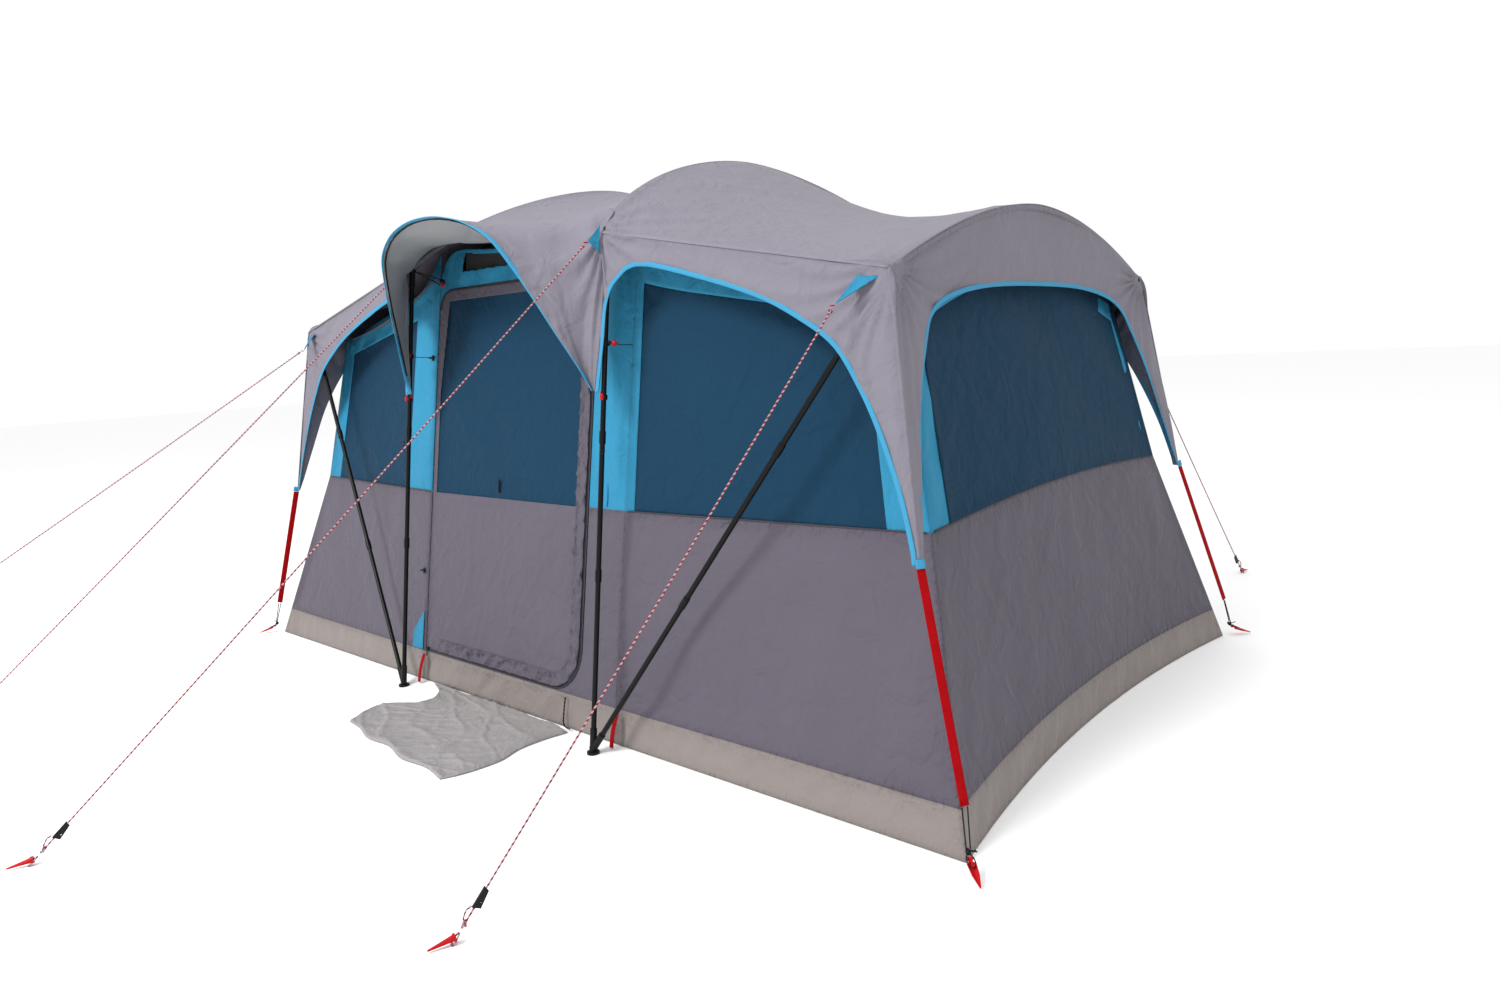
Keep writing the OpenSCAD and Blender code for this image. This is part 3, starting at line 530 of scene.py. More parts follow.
def bay_high(u, v):
    """The upper bay; its top edge is drawn up towards the middle hoop."""
    lift = 0.13 * np.clip(1 - np.asarray(u) / 0.26, 0, 1) ** 2 * np.clip((np.asarray(v) - 0.86) / 0.14, 0, 1)
    p = bilerp(HIGH, u, v)
    return p + lift[..., None] * np.array([0, 0.165, 1.0])


def end_low(u, v):
    t = 2 * u - 1
    c = 1 - t * t
    a = bilerp(LOW, np.ones_like(v), v)
    return np.stack([a[..., 0] - c * lerp(PULL_IN, 0.27 * BORDER_RISE, v), -a[..., 1] * t,
                     a[..., 2] + BORDER_RISE * v * c], -1)


def end_high(u, v):
    t = 2 * u - 1
    a = bilerp(HIGH, np.ones_like(v), v)
    rise = lerp(BORDER_RISE * (1 - t * t), END_RISE * (1 - np.abs(t) ** 1.8), v)
    return np.stack([a[..., 0] - 0.24 * rise, -a[..., 1] * t, a[..., 2] + rise], -1)


def centre_wall(x, s):
    """The wall between the middle hoops: x in metres, s up its slope."""
    return np.stack([x, -HALF_W + s * math.sin(LEAN), s * math.cos(LEAN)], -1)


def roof_arc(t):
    c = np.cos(math.pi * np.asarray(t, float))
    rise = np.maximum(0, 1 - np.abs(c) ** 1.8) ** 0.8
    return np.stack([FOOT_X - CREST_IN * rise, -1.04 * c, 1.83 + CREST * rise], -1)


def end_arc(t):
    c = np.cos(math.pi * np.asarray(t, float))
    return np.stack([1.775 + 0 * c, -0.98 * c, 1.61 + END_CREST * (1 - np.abs(c) ** 1.8)], -1)


SAG, SAG_MIDDLE = 0.115, 0.095
ROOF_OUT = 0.018


def roof_bay(drop, shrink):
    def spot(u, v):
        p = lerp(roof_arc(v), end_arc(v), np.asarray(u, float)[..., None])
        c = 1 - np.abs(2 * v - 1) ** 3
        return np.stack([p[..., 0], p[..., 1] * (1 - shrink), p[..., 2] - drop - 4 * SAG * u * (1 - u) * c],
                        -1)
    return spot


def roof_middle(drop, shrink):
    def spot(u, v):
        a = roof_arc(v)
        c = 1 - np.abs(2 * v - 1) ** 3
        return np.stack([(1 - 2 * u) * a[..., 0], a[..., 1] * (1 - shrink),
                         a[..., 2] - drop - 4 * SAG_MIDDLE * u * (1 - u) * c], -1)
    return spot


OVER = 0.012
EAVE_HUB = HUB + vec(0, -24, 14)
EAVE_CORNER = CORNER + vec(12, -22, 12)


def skirt_y(x, z):
    """The plane of the front skirts, x and z in millimetres."""
    return -1331 + 0.0831 * (x - 655) + 0.15 * z


def on_skirt(x, z):
    return vec(x, skirt_y(x, z), z)


HEM_FRONT = np.array([on_skirt(x, z) for x, z in [
    (648, 1290), (664, 1450), (676, 1600), (722, 1675), (825, 1712), (1080, 1650), (1320, 1572),
    (1475, 1497), (1605, 1410), (1695, 1290), (1768, 1160), (1840, 995), (1888, 845), (1900, 790)]])
SEAM_LOW = on_skirt(632, 1290)
EAVE_FRONT = np.array(
    [SEAM_LOW, on_skirt(646, 1480), on_skirt(655, 1690), EAVE_HUB]
    + [lerp(EAVE_HUB, EAVE_CORNER, s) for s in (0.16, 0.4, 0.66, 0.84)]
    + [lerp(EAVE_CORNER, TIP, s) for s in (0, 0.22, 0.42, 0.66, 0.9, 1)])
HEM_END_HALF = [vec(1766 + 0.2 * (1578 - z), y, z) for y, z in [
    (-1095, 790), (-1068, 860), (-1020, 1000), (-935, 1230), (-830, 1410), (-760, 1490),
    (-620, 1540), (-365, 1572), (0, 1580)]]
FLIP_Y = np.array([1, -1, 1])
FLIP_X = np.array([-1, 1, 1])
HEM_END = np.array(HEM_END_HALF + [p * FLIP_Y for p in HEM_END_HALF[-2::-1]])
LEG_END = np.array([lerp(EAVE_CORNER, TIP, s) + vec(3, 0, 0) for s in (1, 0.9, 0.7, 0.4, 0.15, 0)])
ARC_AT = [0, 0.22, 0.36, 0.5, 0.64, 0.78, 1]


def over_end(t):
    """The seam of the fly over an end hoop, from one corner hub to the other."""
    near = np.minimum(t, 1 - t)
    side = np.where(t < 0.5, 1.0, -1.0)[..., None] * [0, 1, 0] + [1, 0, 1]
    base = end_arc(t)
    corner_off, arc_off = (EAVE_CORNER - CORNER + vec(3, 0, 0)) * side, vec(8, 0, 16)
    return base + lerp(corner_off, arc_off, smooth(near / 0.1)[..., None])


def eave_end(u):
    """The upper edge of an end skirt: up a corner leg, over the hoop and down the other leg."""
    k = np.asarray(u, float) * 16
    up = along(LEG_END, k / 5)
    down = along(LEG_END, (16 - k) / 5) * FLIP_Y
    over_top = over_end(np.interp(k, np.arange(5, 12), ARC_AT))
    return np.where((k < 5)[..., None], up, np.where((k > 11)[..., None], down, over_top))


def loft(top, hem):
    def spot(u, v):
        high = top(u) if callable(top) else along(top, u)
        return lerp(high, along(hem, u), np.asarray(v, float)[..., None])
    return spot


def fly_roof(u, v):
    """The fly over a bay, its edges drawn to the seams with the skirts."""
    p = roof_bay(-OVER, -ROOF_OUT)(u, v)
    for sign, near in ((1, v), (-1, 1 - v)):
        eave = lerp(EAVE_HUB, EAVE_CORNER, np.asarray(u, float)[..., None]) * [1, sign, 1]
        edge = roof_bay(-OVER, -ROOF_OUT)(u, np.full_like(u, 0.0 if sign > 0 else 1.0))
        p = p + (eave - edge) * np.clip(1 - near / 0.06, 0, 1)[..., None] ** 2
    edge = roof_bay(-OVER, -ROOF_OUT)(np.ones_like(u), v)
    held = smooth(np.minimum(v, 1 - v) / 0.05)
    return p + (over_end(v) - edge) * (np.clip((u - 0.93) / 0.07, 0, 1) ** 2 * held)[..., None]


HOOD_LEAN = math.radians(20)
HOOD_BASE = vec(0, skirt_y(640, 1290), 1290)


def hood_point(x, r):
    return HOOD_BASE + vec(x, -r * math.sin(HOOD_LEAN), r * math.cos(HOOD_LEAN))


HOOD_HALF = [hood_point(x, r) for x, r in [(620, 6), (585, 110), (535, 230), (482, 365), (430, 480),
                                          (362, 590), (250, 660), (125, 695), (0, 705)]]
HOOD_HEM = np.array(HOOD_HALF + [p * FLIP_X for p in HOOD_HALF[-2::-1]])
over_middle = roof_middle(-OVER, -ROOF_OUT)
PORTAL_V = 0.19


def one(spot, u, v):
    return spot(np.array([u]), np.array([v]))[0]


PORTAL_HALF = ([vec(630, skirt_y(632, 1290), 1296), vec(646, skirt_y(646, 1480), 1480),
                vec(655, skirt_y(655, 1690), 1690), EAVE_HUB]
               + [one(over_middle, 0, v) for v in (0.07, 0.14)]
               + [one(over_middle, u, PORTAL_V) for u in (0.1, 0.3, 0.5)])
PORTAL = np.array(PORTAL_HALF + [p * FLIP_X for p in PORTAL_HALF[-2::-1]])

# ---- guy ropes ----

CORNER_GUY = vec(1663, -1098, 1528)
HUB_GUY = vec(640, -1122, 1812)
ROPES = {
    "front_right": (CORNER_GUY, vec(1262, -2250, 14)),
    "hub_right": (HUB_GUY, vec(-150, -2800, 14)),
    "hub_left": (HUB_GUY * FLIP_X, vec(-1490, -2850, 14)),
    "front_left": (CORNER_GUY * FLIP_X, vec(-2700, -3200, 14)),
    "back_right": (CORNER_GUY * FLIP_Y, vec(1865, 2435, 14))}
KNOT, ROPE_R = 0.026, 0.0026
ROPE_SAG = 0.006


def knot(name, at, towards, size, radius, material):
    """A small overhand knot at a point, along a direction."""
    t = np.linspace(0, 2 * math.pi, 61)
    towards = unit(np.asarray(towards, float))
    side = unit(np.cross(towards, [0.3, 0.2, 1.0]))
    other = np.cross(towards, side)
    loop = (np.sin(t) + 1.6 * np.sin(2 * t), np.cos(t) - 1.6 * np.cos(2 * t), -np.sin(3 * t))
    path = at + size * (0.42 * loop[0][:, None] * towards + 0.32 * loop[1][:, None] * side
                        + 0.32 * loop[2][:, None] * other)
    return tube(name, path, radius, material, 8)


for rope, (tie, peg) in ROPES.items():
    way = unit(peg - tie)
    start, end = tie + KNOT * way, peg - KNOT * way
    s = np.linspace(0, 1, 33)
    path = lerp(start, end, s[:, None]) - np.outer(4 * ROPE_SAG * s * (1 - s), [0, 0, 1.0])
    piece = tube("rope_" + rope + "_braid", path, ROPE_R, ROPE, 12)
    top_knot = knot("rope_" + rope + "_top_knot", start + 0.004 * way, way, 0.008, ROPE_R * 0.9, ROPE)
    bend = np.linspace(-0.5 * math.pi, 1.5 * math.pi, 25)
    side = unit(np.cross(way, [0, 0, 1.0]))
    flat = np.cross(side, way)
    loop = tube("rope_" + rope + "_peg_loop", peg + 0.004 * way + np.outer(np.sin(bend) * 0.018, -way)
                + np.outer(np.cos(bend) * 0.0085, side), ROPE_R * 0.9, ROPE, 8)
    low_knot = knot("rope_" + rope + "_low_knot", end - 0.012 * way, way, 0.009, ROPE_R * 0.9, ROPE)
    tail = tube("rope_" + rope + "_tail", np.array([
        end - 0.010 * way, end - 0.022 * way + 0.008 * flat + 0.006 * side,
        end - 0.042 * way + 0.014 * flat + 0.004 * side,
        end - 0.058 * way + 0.012 * flat - 0.004 * side]), [ROPE_R * 0.85] * 3 + [ROPE_R * 1.1], ROPE, 8)
    extras = [top_knot, loop, low_knot, tail]
    for extra in extras:
        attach(extra, "tent")
    finish_piece(piece, "tent", "rope_" + rope)

# ---- walls ----


def wall_folds(seed, amount=1.0):
    """Broad slack and soft slanting pulls of a hanging wall."""
    def shape(a, b, p):
        wide = 0.010 * waves(a, b, 0.9, seed)
        up = 0.0035 * waves(*turned(a, b, 82, 3.2, 0.9), 0.30, seed + 1)
        slant = 0.0024 * creases(*turned(a, b, 48, 2.4, 0.8), 0.7, seed + 2, 0.4)
        other = 0.0020 * creases(*turned(a, b, -40, 2.2, 0.7), 0.7, seed + 3, 0.4)
        return amount * (wide + up + slant + other)
    return shape


def tub_folds(seed):
    def shape(a, b, p):
        return (0.004 * waves(*turned(a, b, 80, 1.5, 1.0), 0.22, seed)
                + 0.0025 * waves(*turned(a, b, 60, 2, 1), 0.08, seed + 1))
    return shape


tub_v = TUB_H / BORDER_Z
for y_side, face in FACE.items():
    for x_side in (1, -1):
        spot = mirrored(bay_low, x_side, y_side)
        seed = 10 + 3 * x_side + 7 * y_side
        hand = HAND[x_side]
        piece = patch(f"tub_{face}_{hand}", spot, (0, 1), (0.002, tub_v),
                      (96, 8), TUB, tub_folds(seed), hold=0.025)
        hang_cloth(piece, "tent", "tub_walls", "hung", ["groundsheet"])
        piece = patch(f"lower_{face}_{hand}", spot, (0, 1), (tub_v, 1),
                      (96, 56), WALL, wall_folds(seed))
        hang_cloth(piece, "tent", f"wall_{face}_lower", "hung")
    piece = patch(f"tub_{face}_centre",
                  lambda u, v, k=y_side: centre_wall(lerp(-FOOT_X, FOOT_X, u), v) * [1, k, 1],
                  (0, 1), (0.002, TUB_H * SLOPE), (96, 8), TUB, tub_folds(40 + y_side), hold=0.025)
    hang_cloth(piece, "tent", "tub_walls", "hung", ["groundsheet"])

for x_side, face in HAND.items():
    spot = mirrored(end_low, x_side)
    piece = patch(f"tub_{face}", spot, (0, 1), (0.002, tub_v), (150, 8), TUB, tub_folds(50 + x_side),
                  hold=0.025)
    hang_cloth(piece, "tent", "tub_walls", "hung", ["groundsheet"])
    piece = patch(f"lower_{face}", spot, (0, 1), (tub_v, 1), (140, 52), WALL, wall_folds(60 + x_side))
    hang_cloth(piece, "tent", f"wall_{face}_lower", "hung")

# ---- upper walls and windows ----

WINDOW_TOP, WINDOW_TO = 0.87, 0.883


def band_folds(seed, bulge=0.0):
    def shape(a, b, p):
        full = bulge * np.exp(-((p[..., 0] - 0.575) / 0.045) ** 2) * smooth((p[..., 2] - 0.9) / 0.3)
        return (full + 0.006 * waves(*turned(a, b, 85, 2.6, 0.8), 0.16, seed)
                + 0.004 * waves(a, b, 0.4, seed + 1)
                + 0.004 * creases(*turned(a, b, 70, 2.4, 0.8), 0.3, seed + 2, 0.25))
    return shape


def window_folds(seed):
    def shape(a, b, p):
        return (-0.004 + 0.004 * waves(a, b, 0.5, seed)
                + 0.0022 * creases(*turned(a, b, 52, 2.6, 0.6), 0.8, seed + 1, 0.4)
                + 0.0018 * creases(*turned(a, b, -35, 2.4, 0.6), 0.7, seed + 2, 0.4))
    return shape


def beside(dist, reach=0.05):
    """0 at an opening's edge, 1 a little way off."""
    return smooth(dist / reach)


def off_box(uu, vv, box, width, height):
    """How far points are from a box given in u and v."""
    du = np.maximum(np.maximum(box[0] - uu, uu - box[1]), 0) * width
    dv = np.maximum(np.maximum(box[2] - vv, vv - box[3]), 0) * height
    return np.hypot(du, dv)


BAY_FROM = {(1, 1): 0.04, (1, -1): 0.2, (-1, 1): 0.04, (-1, -1): 0.04}
for (y_side, x_side), from_u in BAY_FROM.items():
    face, hand = FACE[y_side], HAND[x_side]
    spot = mirrored(bay_high, x_side, y_side)
    seed = 80 + 5 * x_side + 9 * y_side
    frame_piece = patch(f"upper_{face}_{hand}", spot, (0, 1), (0, 1), (110, 80), CYAN, band_folds(seed),
                        keep=lambda u, v, p, f=from_u: ~((u > f) & (u < WINDOW_TO) & (v < WINDOW_TOP)),
                        calm=lambda u, v, p, f=from_u: beside(
                            off_box(u, v, (f, WINDOW_TO, 0, WINDOW_TOP), 1.15, 0.85)))
    hang_cloth(frame_piece, "tent", f"wall_{face}_upper", "hung")
    pane = patch(f"window_{face}_{hand}_film", spot, (from_u - 0.01, WINDOW_TO + 0.01),
                 (0, WINDOW_TOP + 0.012), (80, 60), MESH, window_folds(seed + 3), lift=-0.002)
    node = f"window_front_{hand}" if y_side > 0 else "windows_back"
    hang_cloth(pane, "tent", node, "hung", [frame_piece.name])

for x_side, hand in HAND.items():
    spot = mirrored(end_high, x_side)
    frame_piece = patch(f"upper_{hand}", spot, (0, 1), (0, 1), (130, 70), CYAN, band_folds(110 + x_side),
                        keep=lambda u, v, p: ~((u > 0.07) & (u < 0.96) & (v < 0.80)),
                        calm=lambda u, v, p: beside(off_box(u, v, (0.07, 0.99, 0, 0.93), 1.8, 0.75)))
    hang_cloth(frame_piece, "tent", f"wall_{hand}_upper", "hung")
    pane = patch(f"window_{hand}_film", spot, (0.06, 0.995), (0, 0.94), (110, 60), MESH,
                 window_folds(120 + x_side), lift=0.003)
    hang_cloth(pane, "tent", f"window_{hand}", "hung", [frame_piece.name])

# ---- the wall between the middle hoops, with the door ----

DOOR_LEFT, DOOR_RIGHT, DOOR_LOW, DOOR_HIGH = -0.645, 0.445, 0.140, 1.765
# Its rounded corners: where the sides would meet, the radius, which way they face and the first angle
DOOR_ROUNDS = ((DOOR_RIGHT, DOOR_LOW, 0.17, 1, -1, -90), (DOOR_RIGHT, DOOR_HIGH, 0.09, 1, 1, 0),
               (DOOR_LEFT, DOOR_HIGH, 0.09, -1, 1, 90))
SEAM_S = BORDER_Z * SLOPE
PEAK_S, SIDE_S = 1.88 * SLOPE, 1.78 * SLOPE


def in_door(x, s, inset):
    """Which points lie inside the door's outline, drawn in by a distance."""
    left, right_, low, high = DOOR_LEFT + inset, DOOR_RIGHT - inset, DOOR_LOW + inset, DOOR_HIGH - inset
    inside = (x > left) & (x < right_) & (s > low) & (s < high)
    for end_x, end_s, r, sx, ss, _ in DOOR_ROUNDS:
        cx, cs = end_x - sx * r, end_s - ss * r
        outside = (sx * (x - cx) > 0) & (ss * (s - cs) > 0) & (np.hypot(x - cx, s - cs) > r - inset)
        inside &= ~outside
    return inside


def wall_top(x):
    return lerp(SIDE_S, PEAK_S + 0.05 * (x / 0.6) ** 2, 1 - np.abs(x / FOOT_X) ** 12)


def centre_spot(s_low, s_high, y_side=1):
    """The centre wall between two heights up its slope; None is its curved top."""
    def spot(u, v):
        x = lerp(-FOOT_X, FOOT_X, u)
        top = wall_top(x) if s_high is None else s_high
        return centre_wall(x, lerp(s_low, top, v)) * [1, y_side, 1]
    return spot


VENT_LOW = 1.811 * SLOPE
VENT_TOP, VENT_HALF = 1.862, 0.46


def in_vent(x, s):
    return (s > VENT_LOW) & (s < (VENT_TOP + 0.028 * (x / 0.44) ** 2) * SLOPE) & (np.abs(x) < VENT_HALF)


def off_door(u, v, p):
    """Holds the wall still where it meets the door."""
    x, s = p[..., 0], p[..., 2] * SLOPE
    dx = np.maximum(np.maximum(DOOR_LEFT - x, x - DOOR_RIGHT), 0)
    ds = np.maximum(np.maximum(DOOR_LOW - s, s - DOOR_HIGH), 0)
    return beside(np.hypot(dx, ds), 0.06)


def not_door(u, v, p):
    return ~in_door(p[..., 0], p[..., 2] * SLOPE, -0.003)


def band_front(u, v, p):
    return not_door(u, v, p) & ~in_vent(p[..., 0], p[..., 2] * SLOPE)


def band_back(u, v, p):
    x, s = p[..., 0], p[..., 2] * SLOPE
    return ~in_vent(x, s) & ~((np.abs(x) < 0.555) & (s < 1.69))


def around_door(low, high, split_x, rows, material, folds, keep, node, name):
    """The wall around the door: a panel right of split_x, and what is left above and beside the door."""
    def panel_part(part, on_right):
        return patch(name + part, centre_spot(low, high), (0, 1), (0, 1), (262, rows), material, folds,
                     calm=off_door,
                     keep=lambda u, v, p: keep(u, v, p) & ((p[..., 0] > split_x) == on_right))

    trim, main = panel_part("_edge", False), panel_part("_centre", True)
    for part in (trim, main):
        finish_piece(part, "tent", node)
    as_sheet(main, "hung", with_pieces=[trim])


around_door(TUB_H * SLOPE, SEAM_S, 0.27, 146, WALL, wall_folds(131, 0.5), not_door, "wall_front_lower",
            "lower_front")
around_door(SEAM_S, None, 0.40, 222, CYAN, band_folds(133, 0.03), band_front, "wall_front_upper",
            "upper_front")
piece = patch("lower_back_centre", centre_spot(TUB_H * SLOPE, SEAM_S, -1), (0, 1), (0, 1), (90, 50), WALL,
              wall_folds(135))
hang_cloth(piece, "tent", "wall_back_lower", "hung")
piece = patch("upper_back_centre", centre_spot(SEAM_S, None, -1), (0, 1), (0, 1), (180, 150), CYAN,
              band_folds(137), keep=band_back)
hang_cloth(piece, "tent", "wall_back_upper", "hung")
piece = patch("window_back_film",
              lambda u, v: centre_wall(lerp(-0.57, 0.57, u), lerp(SEAM_S - 0.01, 1.70, v)) * [1, -1, 1],
              (0, 1), (0, 1), (70, 56), MESH, window_folds(139), lift=-0.003)
hang_cloth(piece, "tent", "windows_back", "hung")
for y_side, face in FACE.items():
    piece = patch(f"vent_{face}_mesh", lambda u, v, k=y_side: centre_wall(
        lerp(-0.49, 0.49, u), lerp(VENT_LOW - 0.01, VENT_LOW + 0.11, v)) * [1, k, 1], (0, 1), (0, 1),
        (98, 24), VENT, window_folds(141), lift=-0.003,
        keep=lambda u, v, p: (in_vent(p[..., 0], p[..., 2] * SLOPE + 0.006)
                              | in_vent(p[..., 0], p[..., 2] * SLOPE - 0.006)))
    hang_cloth(piece, "tent", "roof_vents", "hung")


# ---- door ----


def door_spot(x0, x1, s0, s1):
    return lambda u, v: centre_wall(lerp(x0, x1, u), lerp(s0, s1, v))


def in_pane(x, s, grow):
    left = DOOR_LEFT + 0.028 + 0.047 * np.clip((s - 1.29) / 0.42, 0, 1) - grow
    right_ = DOOR_RIGHT - 0.05 - 0.012 * np.clip((s - SEAM_S) / 0.85, 0, 1) + grow
    return (x > left) & (x < right_) & (s > SEAM_S - grow) & (s < DOOR_HIGH - 0.048 + grow)


def door_folds(a, b, p):
    low = np.clip(1 - (p[..., 2] - 0.14) / 0.35, 0, 1)
    slack = 0.004 * waves(a, b, 0.5, 151) + 0.005 * creases(*turned(a, b, 12, 2.6, 0.9), 0.3, 152, 0.25) * low
    return slack + 0.002 * creases(*turned(a, b, 62, 2.5, 0.8), 0.4, 153, 0.2)


panel = patch("door_leaf", door_spot(DOOR_LEFT, DOOR_RIGHT, DOOR_LOW, DOOR_HIGH), (0, 1), (0, 1),
              (218, 325), WALL, door_folds,
              keep=lambda u, v, p: (in_door(p[..., 0], p[..., 2] * SLOPE, 0.001)
                                    & ~in_pane(p[..., 0], p[..., 2] * SLOPE, 0)),
              calm=lambda u, v, p: beside((SEAM_S - p[..., 2] * SLOPE), 0.05))
hang_cloth(panel, "door", "door_panel", "hung", ["door_zip_tape"])
pane = patch("door_window_film",
             door_spot(DOOR_LEFT + 0.02, DOOR_RIGHT - 0.04, SEAM_S - 0.01, DOOR_HIGH - 0.04),
             (0, 1), (0, 1), (70, 60), MESH, window_folds(155), lift=-0.003)
hang_cloth(pane, "door", "door_window", "hung", ["door_leaf"])


def door_edge(inset, count=26):
    """The outline of the door from its hinged foot round to its hinged top."""
    run = [(DOOR_LEFT + inset, DOOR_LOW + inset)]
    for end_x, end_s, r, sx, ss, a0 in DOOR_ROUNDS:
        cx, cs = end_x - sx * r, end_s - ss * r
        run += [(cx + (r - inset) * math.cos(math.radians(a)), cs + (r - inset) * math.sin(math.radians(a)))
                for a in np.linspace(a0, a0 + 90, 9)]
    run = np.array(run)
    gone = np.concatenate([[0], np.cumsum(np.hypot(*np.diff(run, axis=0).T))])
    s = np.linspace(0, gone[-1], count)
    return np.stack([np.interp(s, gone, run[:, 0]), np.interp(s, gone, run[:, 1])], -1)


WALL_OUT = np.array([0, -math.cos(LEAN), math.sin(LEAN)])
run = door_edge(0.003, 420)
zip_path = centre_wall(run[:, 0], run[:, 1]) + WALL_OUT * 0.0028
tape = ribbon("door_zip_tape_woven", zip_path, WALL_OUT, 0.013, TAPE, 0.0012, 0.0001)
finish_piece(tape, "door", "door_zip_tape")
coil = tube("door_zip_coil", zip_path + WALL_OUT * 0.0009, 0.0013, PLASTIC, 8)
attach(coil, "door")

flap_run = door_edge(0.036, 420)[:300]
flap_run = flap_run[: int(np.argmax(flap_run[:, 1] > 1.62))]


def flap_spot(u, v):
    """The storm flap along the zip: u runs along it and v across it."""
    k = np.clip(u, 0, 1) * (len(flap_run) - 1)
    i = np.arange(len(flap_run))
    x, s = np.interp(k, i, flap_run[:, 0]), np.interp(k, i, flap_run[:, 1])
    tx, ts = np.gradient(flap_run[:, 0]), np.gradient(flap_run[:, 1])
    size = np.hypot(tx, ts)
    nx, ns = np.interp(k, i, -ts / size), np.interp(k, i, tx / size)
    across = (v - 0.5) * 0.056
    return centre_wall(x + nx * across, s + ns * across) + WALL_OUT * 0.007


def flap_folds(a, b, p):
    return (0.005 * waves(*turned(a, b, 68, 2.0, 1.0), 0.05, 161)
            + 0.006 * creases(*turned(a, b, 30, 1.8, 1.0), 0.09, 162, 0.3)
            + 0.003 * waves(a, b, 0.03, 163))


flap = patch("door_storm_flap_cloth", flap_spot, (0.03, 1), (0, 1), (340, 12), WALL, flap_folds, hold=0.006,
             lift=0.002)
hang_cloth(flap, "door", "door_storm_flap", "gathered", ["door_leaf"])

# ---- fly sheet ----


def fly_folds(points, seed, amount=1.0):
    """Taut cloth: broad slack, and pulls that spread from the places where it is held."""
    def shape(a, b, p):
        out = (0.005 * waves(a, b, 0.7, seed)
               + 0.0032 * creases(*turned(a, b, 30, 2.6, 0.7), 0.5, seed + 1, 0.2))
        for k, (at, count, reach) in enumerate(points):
            spot = np.unravel_index(np.argmin(np.linalg.norm(p - at, axis=-1)), a.shape)
            out = out + 0.010 * rays(a, b, (a[spot], b[spot]), count, reach, seed + 2 + k)
        return amount * out
    return shape


def hem(name, spot, u, v, count, out, width=0.017, inward=1):
    """A folded binding along an edge of a surface, centred half its width inside."""
    p, normal = edge_path(spot, u, v, count)
    ahead_ = unit(np.gradient(p, axis=0))
    side = unit(np.cross(normal, ahead_)) * inward
    middle_line = p + side * (width / 2 - 0.002) + normal * out * 0.0006
    return ribbon(name, middle_line, normal * out, width, CYAN_HEM, 0.0030, 0.0006)


for x_side, hand in HAND.items():
    flip = np.array([x_side, 1, 1])
    node = f"fly_{hand}"
    holds = [(HUB * flip, 11, 0.20), (HUB * flip * FLIP_Y, 11, 0.20), (CORNER * flip, 13, 0.26),
             (CORNER * flip * FLIP_Y, 13, 0.26)]
    roof = patch(f"{node}_roof", mirrored(fly_roof, x_side), (0, 1), (0, 1), (64, 120), FLY,
                 fly_folds(holds, 200 + x_side))
    hang_cloth(roof, "tent", node, "stretched", ["roof_arcs", "end_arcs"])
    for y_side, face in FACE.items():
        skirt_spot = mirrored(loft(EAVE_FRONT, HEM_FRONT), x_side, y_side)
        out = x_side * y_side
        near = np.array([x_side, y_side, 1])
        skirt = patch(f"{node}_skirt_{face}", skirt_spot, (0, 1), (0, 1), (190, 16), FLY,
                      fly_folds([(HUB * near, 9, 0.22), (CORNER * near, 12, 0.25)], 210 + out), hold=0.03)
        hang_cloth(skirt, "tent", node, "stretched", ["roof_arcs", "end_arcs"])
        rim = hem(f"{node}_hem_{face}", skirt_spot, (0, 1), 1, 190, -out, inward=-1)
        finish_piece(rim, "tent", node)
    end_spot = mirrored(loft(eave_end, HEM_END), x_side)
    end = patch(f"{node}_skirt_end", end_spot, (0, 1), (0, 1), (230, 18), FLY,
                fly_folds([(CORNER * flip, 12, 0.25), (CORNER * flip * FLIP_Y, 12, 0.25)], 220 + x_side),
                hold=0.03)
    hang_cloth(end, "tent", node, "stretched", ["end_arcs"])
    rim = hem(f"{node}_hem_end", end_spot, (0, 1), 1, 230, -x_side, inward=-1)
    finish_piece(rim, "tent", node)
    t = np.linspace(0, 1, 90)
    lines = {"sleeve_middle": roof_arc(t) + vec(0, 0, 2), "sleeve_end": end_arc(t) + vec(0, 0, 2)}
    for part, line in lines.items():
        sleeve = tube(f"{node}_{part}", line[1:-1] * flip, 0.0112, FLY, 16)
        finish_piece(sleeve, "tent", node)
    for y_side, face in FACE.items():
        near = np.array([x_side, y_side, 1])
        line = lerp(EAVE_HUB, EAVE_CORNER, np.linspace(0, 1, 60)[:, None]) * near
        seam_band = ribbon(f"{node}_eave_{face}", line, unit(np.array([0, -y_side, 1.0])), 0.014, FLY, 0.0024)
        finish_piece(seam_band, "tent", node)
        fall = lerp(EAVE_CORNER, TIP, np.linspace(0, 1, 40)[:, None]) * near
        seam_band = ribbon(f"{node}_corner_{face}", fall, unit(near * [1, -1, 0.2]), 0.012, FLY, 0.0024)
        finish_piece(seam_band, "tent", node)

middle = patch("fly_middle_roof", over_middle, (0, 1), (0.13, 1), (80, 130), FLY,
               fly_folds([(HUB * FLIP_Y, 10, 0.2), (HUB * FLIP_Y * FLIP_X, 10, 0.2)], 240),
               keep=lambda u, v, p: (v > PORTAL_V - 0.006
                                     - 0.052 * np.clip(1 - np.minimum(u, 1 - u) / 0.1, 0, 1)))
hang_cloth(middle, "tent", "fly_middle", "stretched", ["roof_arcs"])
ARCH_HEM = [(-620, 1295), (-612, 1450), (-598, 1560), (-520, 1640), (-260, 1690), (0, 1700)]
ARCH_TOP = [(-632, 1300), (-646, 1480), (-655, 1690), (-655, 1844), (-330, 1838), (0, 1836)]


